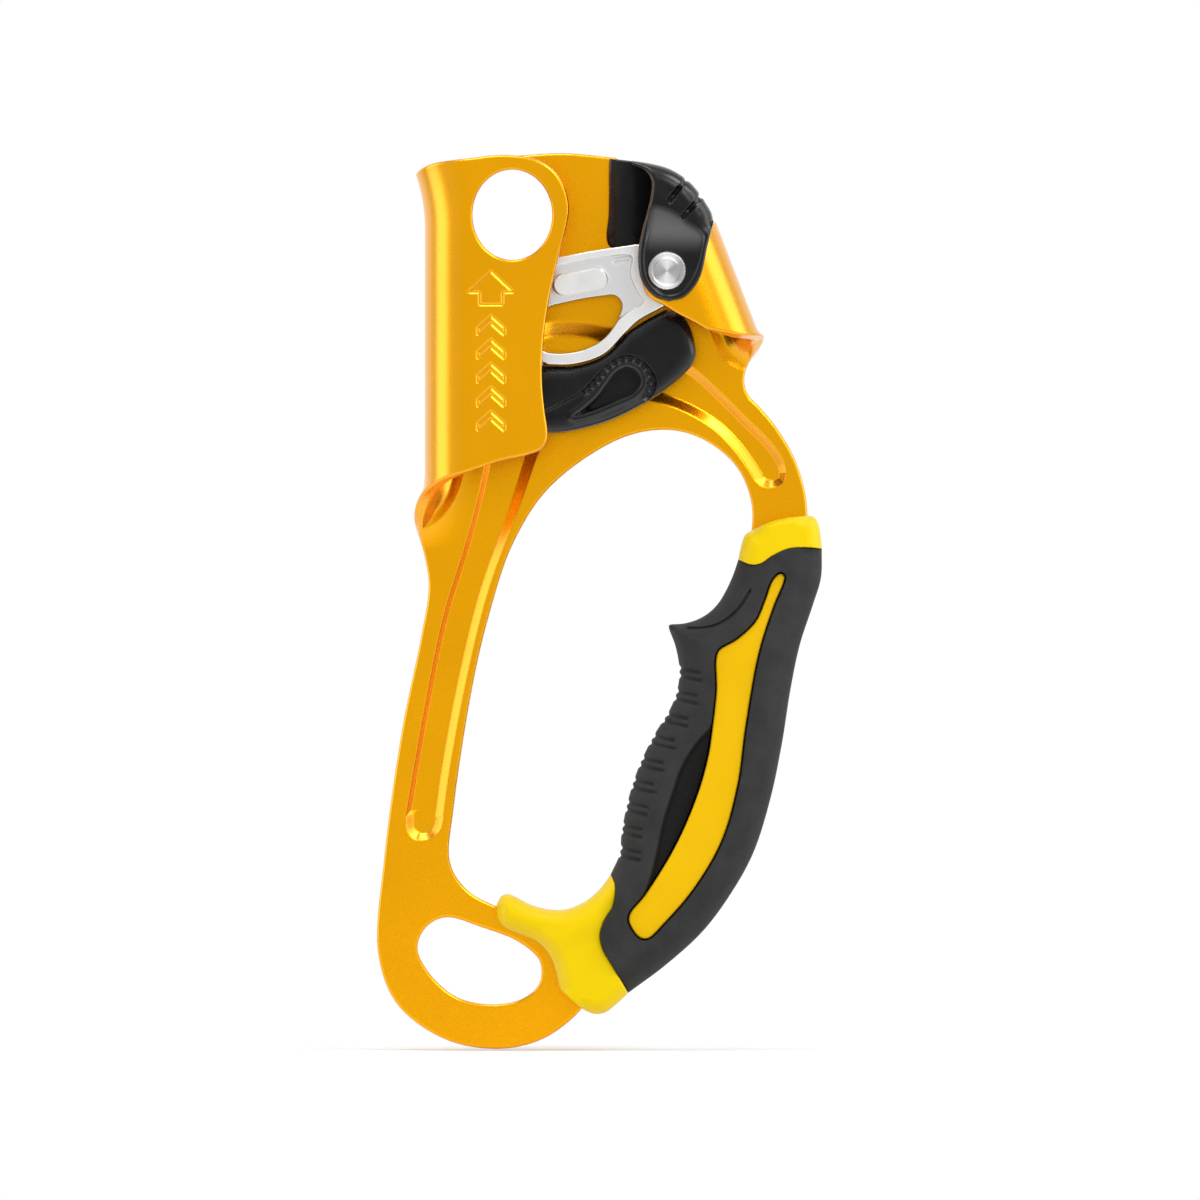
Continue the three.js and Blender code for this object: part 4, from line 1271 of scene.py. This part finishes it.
def grip_rubber():
    f = Finish("grip_rubber_black", 0.0, IOR=1.45, Specular_IOR_Level=0.25)
    cloud = f.spread(f.noise(0.005, 3), 0, 1)
    grain = f.noise(0.00045, 4)
    plain = f.blend(cloud, (0.021, 0.021, 0.021), (0.030, 0.030, 0.030))
    # painted shade: near black where the painted-light attribute is set, in the crescent recess and under
    # the strip
    f.set("Base Color", f.blend(f.attribute("tone"), plain, (0.003, 0.003, 0.003)))
    f.set("Roughness", f.spread(grain, 0.62, 0.8))
    f.bump((grain, 0.00004), (f.noise(0.0016, 3), 0.00003))
    return f.material


# ---- Assembly ----


def put(piece, material, body_name, slot, *nodes):
    piece.data.materials.clear()
    piece.data.materials.append(material)
    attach(piece, body_name)
    if nodes:
        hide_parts(*nodes)
    return piece


ANODISED = anodised()
STEEL = bright_steel()
TURNED = turned_steel()
BRONZE = bronze()
SPRING = drawn_steel()
NYLON = black_nylon()
YELLOW = yellow_plastic("yellow_plastic_hard", (0.75, 0.54, 0.001), (0.74, 0.52, 0.001))
AMBER = yellow_plastic("amber_plastic_hard", (0.74, 0.44, 0.001), (0.72, 0.42, 0.001))
RUBBER = grip_rubber()

put(piece_from("frame_plate", frame_plate()), ANODISED, "frame", "anodised_frame", "frame")
put(piece_from("cam_body", cam_body()), STEEL, "cam", "cam_steel", "cam")
put(piece_from("trigger_body", *trigger_halves()), NYLON, "trigger", "black_plastic", "trigger")
put(piece_from("thumb_cap_body", *cap_bodies()), NYLON, "frame", "black_plastic", "thumb_cap")
put(piece_from("grip_rubber_body", rubber_body()), RUBBER, "frame", "grip_rubber", "grip_rubber")
put(piece_from("grip_collar", collar_body()), YELLOW, "frame", "yellow_plastic", "grip_core")
put(piece_from("grip_guard", guard_body()), YELLOW, "frame", "yellow_plastic", "grip_core")
put(piece_from("grip_strip", *strip_bodies()), AMBER, "frame", "yellow_plastic", "grip_core")

lathe_work = (
    ("axle_rivet", axle_profile(), AXLE, TURNED, "frame", "rivet_steel", "cam_axle"),
    ("axle_ring", chamfered(3.02, 4.15, *depths("axle_lock_ring")), AXLE, TURNED, "frame", "rivet_steel",
     "axle_lock_ring"),
    ("thrust_washer_front", chamfered(3.35, 5.1, *depths("washer_front")), AXLE, STEEL, "frame",
     "cam_steel",
     "washer_front"),
    ("thrust_washer_rear", chamfered(3.35, 5.1, *depths("washer_rear")), AXLE, STEEL, "frame", "cam_steel",
     "washer_rear"),
    ("trigger_rivet", pin_profile(), PIN, SPRING, "cam", "rivet_steel", "trigger_pin"),
    ("bronze_bush", chamfered(3.35, 4.0, *depths("cam_bush")), AXLE, BRONZE, "cam", "bush_bronze",
     "cam_bush"),
)
for name, profile, centre, material, body, slot, node in lathe_work:
    put(crisp_piece(name, *turned(centre, profile)), material, body, slot, node)

put(crisp_piece("cam_spring_coil", *coil("cam_spring", AXLE, 5.2, 0.5, 2.5)), SPRING, "cam", "rivet_steel",
    "cam_spring")
put(crisp_piece("trigger_spring_coil", *coil("trigger_spring", PIN, 2.2, 0.28, 1.6)), SPRING, "cam",
    "rivet_steel",
    "trigger_spring")

# ---- Stage ----

VIEW_WIDTH = 0.2612                    # metres seen across the picture
VIEW_X, VIEW_Z = 0.02765, -0.0718      # what the camera looks straight at
LENS, SENSOR = 800, 36
# Brightness of the studio before, beside and behind the object
FRONT_LEVEL, SIDE_LEVEL, REAR_LEVEL = 0.80, 0.48, 1.0
LAMPS_AIM_AT = (0.03, 0, -0.07)
LAMPS = (                              # name, place, width, height, power, and if the object reflects it
    ("left", (-1.08, -0.2, 0.25), 0.72, 1.2, 4.4, True),
    ("right", (1.05, -0.2, 0.25), 0.72, 1.2, 4.8, True),
    ("upper_right", (0.7, -0.4, 0.95), 0.45, 0.45, 3.6, True),
    ("top", (-0.1, -0.35, 1.15), 0.5, 0.5, 4.0, True),
    ("key", (0.55, -0.98, 0.62), 0.42, 0.42, 3.2, True),
    ("fill", (0.0, -2.0, 0.5), 1.5, 1.5, 3.0, False),
)


def link(tree, source, target):
    tree.links.new(source, target)


def graded(tree, value, stops):
    """A value mapped smoothly through (value, level) stops."""
    curve = tree.nodes.new("ShaderNodeValToRGB")
    curve.color_ramp.interpolation = "EASE"
    ramp_stops = curve.color_ramp.elements
    while len(ramp_stops) < len(stops):
        ramp_stops.new(0.5)
    for stop, (place, level) in zip(ramp_stops, stops):
        stop.position = place
        stop.color = (level, level, level, 1)
    link(tree, value, curve.inputs[0])
    return curve.outputs["Color"]


def add_camera():
    camera = bpy.data.objects.new("camera", bpy.data.cameras.new("camera"))
    camera.data.lens = LENS
    camera.data.sensor_width = SENSOR
    camera.data.clip_end = 20
    camera.location = (VIEW_X, -VIEW_WIDTH * LENS / SENSOR, VIEW_Z)
    camera.rotation_euler = (math.pi / 2, 0, 0)
    bpy.context.scene.collection.objects.link(camera)
    bpy.context.scene.camera = camera


def add_studio():
    """White to the camera. Reflections see a room that is dimmer at the object's sides than elsewhere."""
    world = bpy.data.worlds.new("studio")
    bpy.context.scene.world = world
    world.use_nodes = True
    tree = world.node_tree
    room = tree.nodes["Background"]
    parts = tree.nodes.new("ShaderNodeSeparateXYZ")
    link(tree, tree.nodes.new("ShaderNodeTexCoord").outputs["Generated"], parts.inputs[0])
    half = tree.nodes.new("ShaderNodeMapRange")
    half.inputs["From Min"].default_value = -1
    link(tree, parts.outputs["Y"], half.inputs["Value"])
    stops = ((0.0, FRONT_LEVEL), (0.13, FRONT_LEVEL), (0.36, SIDE_LEVEL), (0.56, SIDE_LEVEL),
             (0.8, REAR_LEVEL))
    link(tree, graded(tree, half.outputs["Result"], stops), room.inputs["Color"])
    white = tree.nodes.new("ShaderNodeBackground")
    white.inputs["Color"].default_value = (1, 1, 1, 1)
    ray = tree.nodes.new("ShaderNodeLightPath")
    choice = tree.nodes.new("ShaderNodeMixShader")
    link(tree, ray.outputs["Is Camera Ray"], choice.inputs[0])
    link(tree, room.outputs[0], choice.inputs[1])
    link(tree, white.outputs[0], choice.inputs[2])
    link(tree, choice.outputs[0], tree.nodes["World Output"].inputs["Surface"])


def add_lamps():
    for name, place, width, height, power, reflected in LAMPS:
        light = bpy.data.lights.new(name, "AREA")
        light.shape = "RECTANGLE"
        light.size, light.size_y = width, height
        light.energy = power
        lamp = bpy.data.objects.new(name, light)
        lamp.location = place
        aim = Vector(LAMPS_AIM_AT) - Vector(place)
        lamp.rotation_euler = aim.to_track_quat("-Z", "Y").to_euler()
        lamp.visible_glossy = reflected
        bpy.context.scene.collection.objects.link(lamp)


def add_floor():
    """A pale round floor that fades into the white of the studio."""
    middle, reach, rings, segments = 0.028, 0.5, 8, 64
    level = CAD_BOUNDS[0][2] - 0.0004
    places = [(middle, 0.0, level)]
    faces = []
    for ring in range(1, rings + 1):
        for k in range(segments):
            a = 2 * math.pi * k / segments
            away = reach * ring / rings
            places.append((middle + away * math.cos(a), away * math.sin(a), level))
    for k in range(segments):
        n = (k + 1) % segments
        faces.append((0, 1 + k, 1 + n))
        for ring in range(rings - 1):
            low, high = 1 + ring * segments, 1 + (ring + 1) * segments
            faces.append((low + k, high + k, high + n, low + n))
    mesh = bpy.data.meshes.new("floor")
    mesh.from_pydata(places, [], faces)
    floor = bpy.data.objects.new("floor", mesh)
    bpy.context.scene.collection.objects.link(floor)
    f = Finish("floor_paper", 0.0, Roughness=0.9, Specular_IOR_Level=0.0)
    f.set("Base Color", f.blend(f.spread(f.noise(0.002, 3), 0, 1), (0.88, 0.88, 0.88), (0.86, 0.86, 0.86)))
    length = f.node("ShaderNodeVectorMath", {0: f.place}, operation="LENGTH").outputs["Value"]
    glow = f.node("ShaderNodeEmission", {"Color": (1, 1, 1, 1)})
    fade = f.spread(length, 0, 1, 0.17, 0.26)
    mixed = f.node("ShaderNodeMixShader", {0: fade, 1: f.shader.outputs[0], 2: glow.outputs[0]})
    f.tree.links.new(mixed.outputs[0], f.tree.nodes["Material Output"].inputs["Surface"])
    mesh.materials.append(f.material)


add_camera()
add_studio()
add_lamps()
add_floor()
bpy.context.scene.view_settings.view_transform = "Standard"
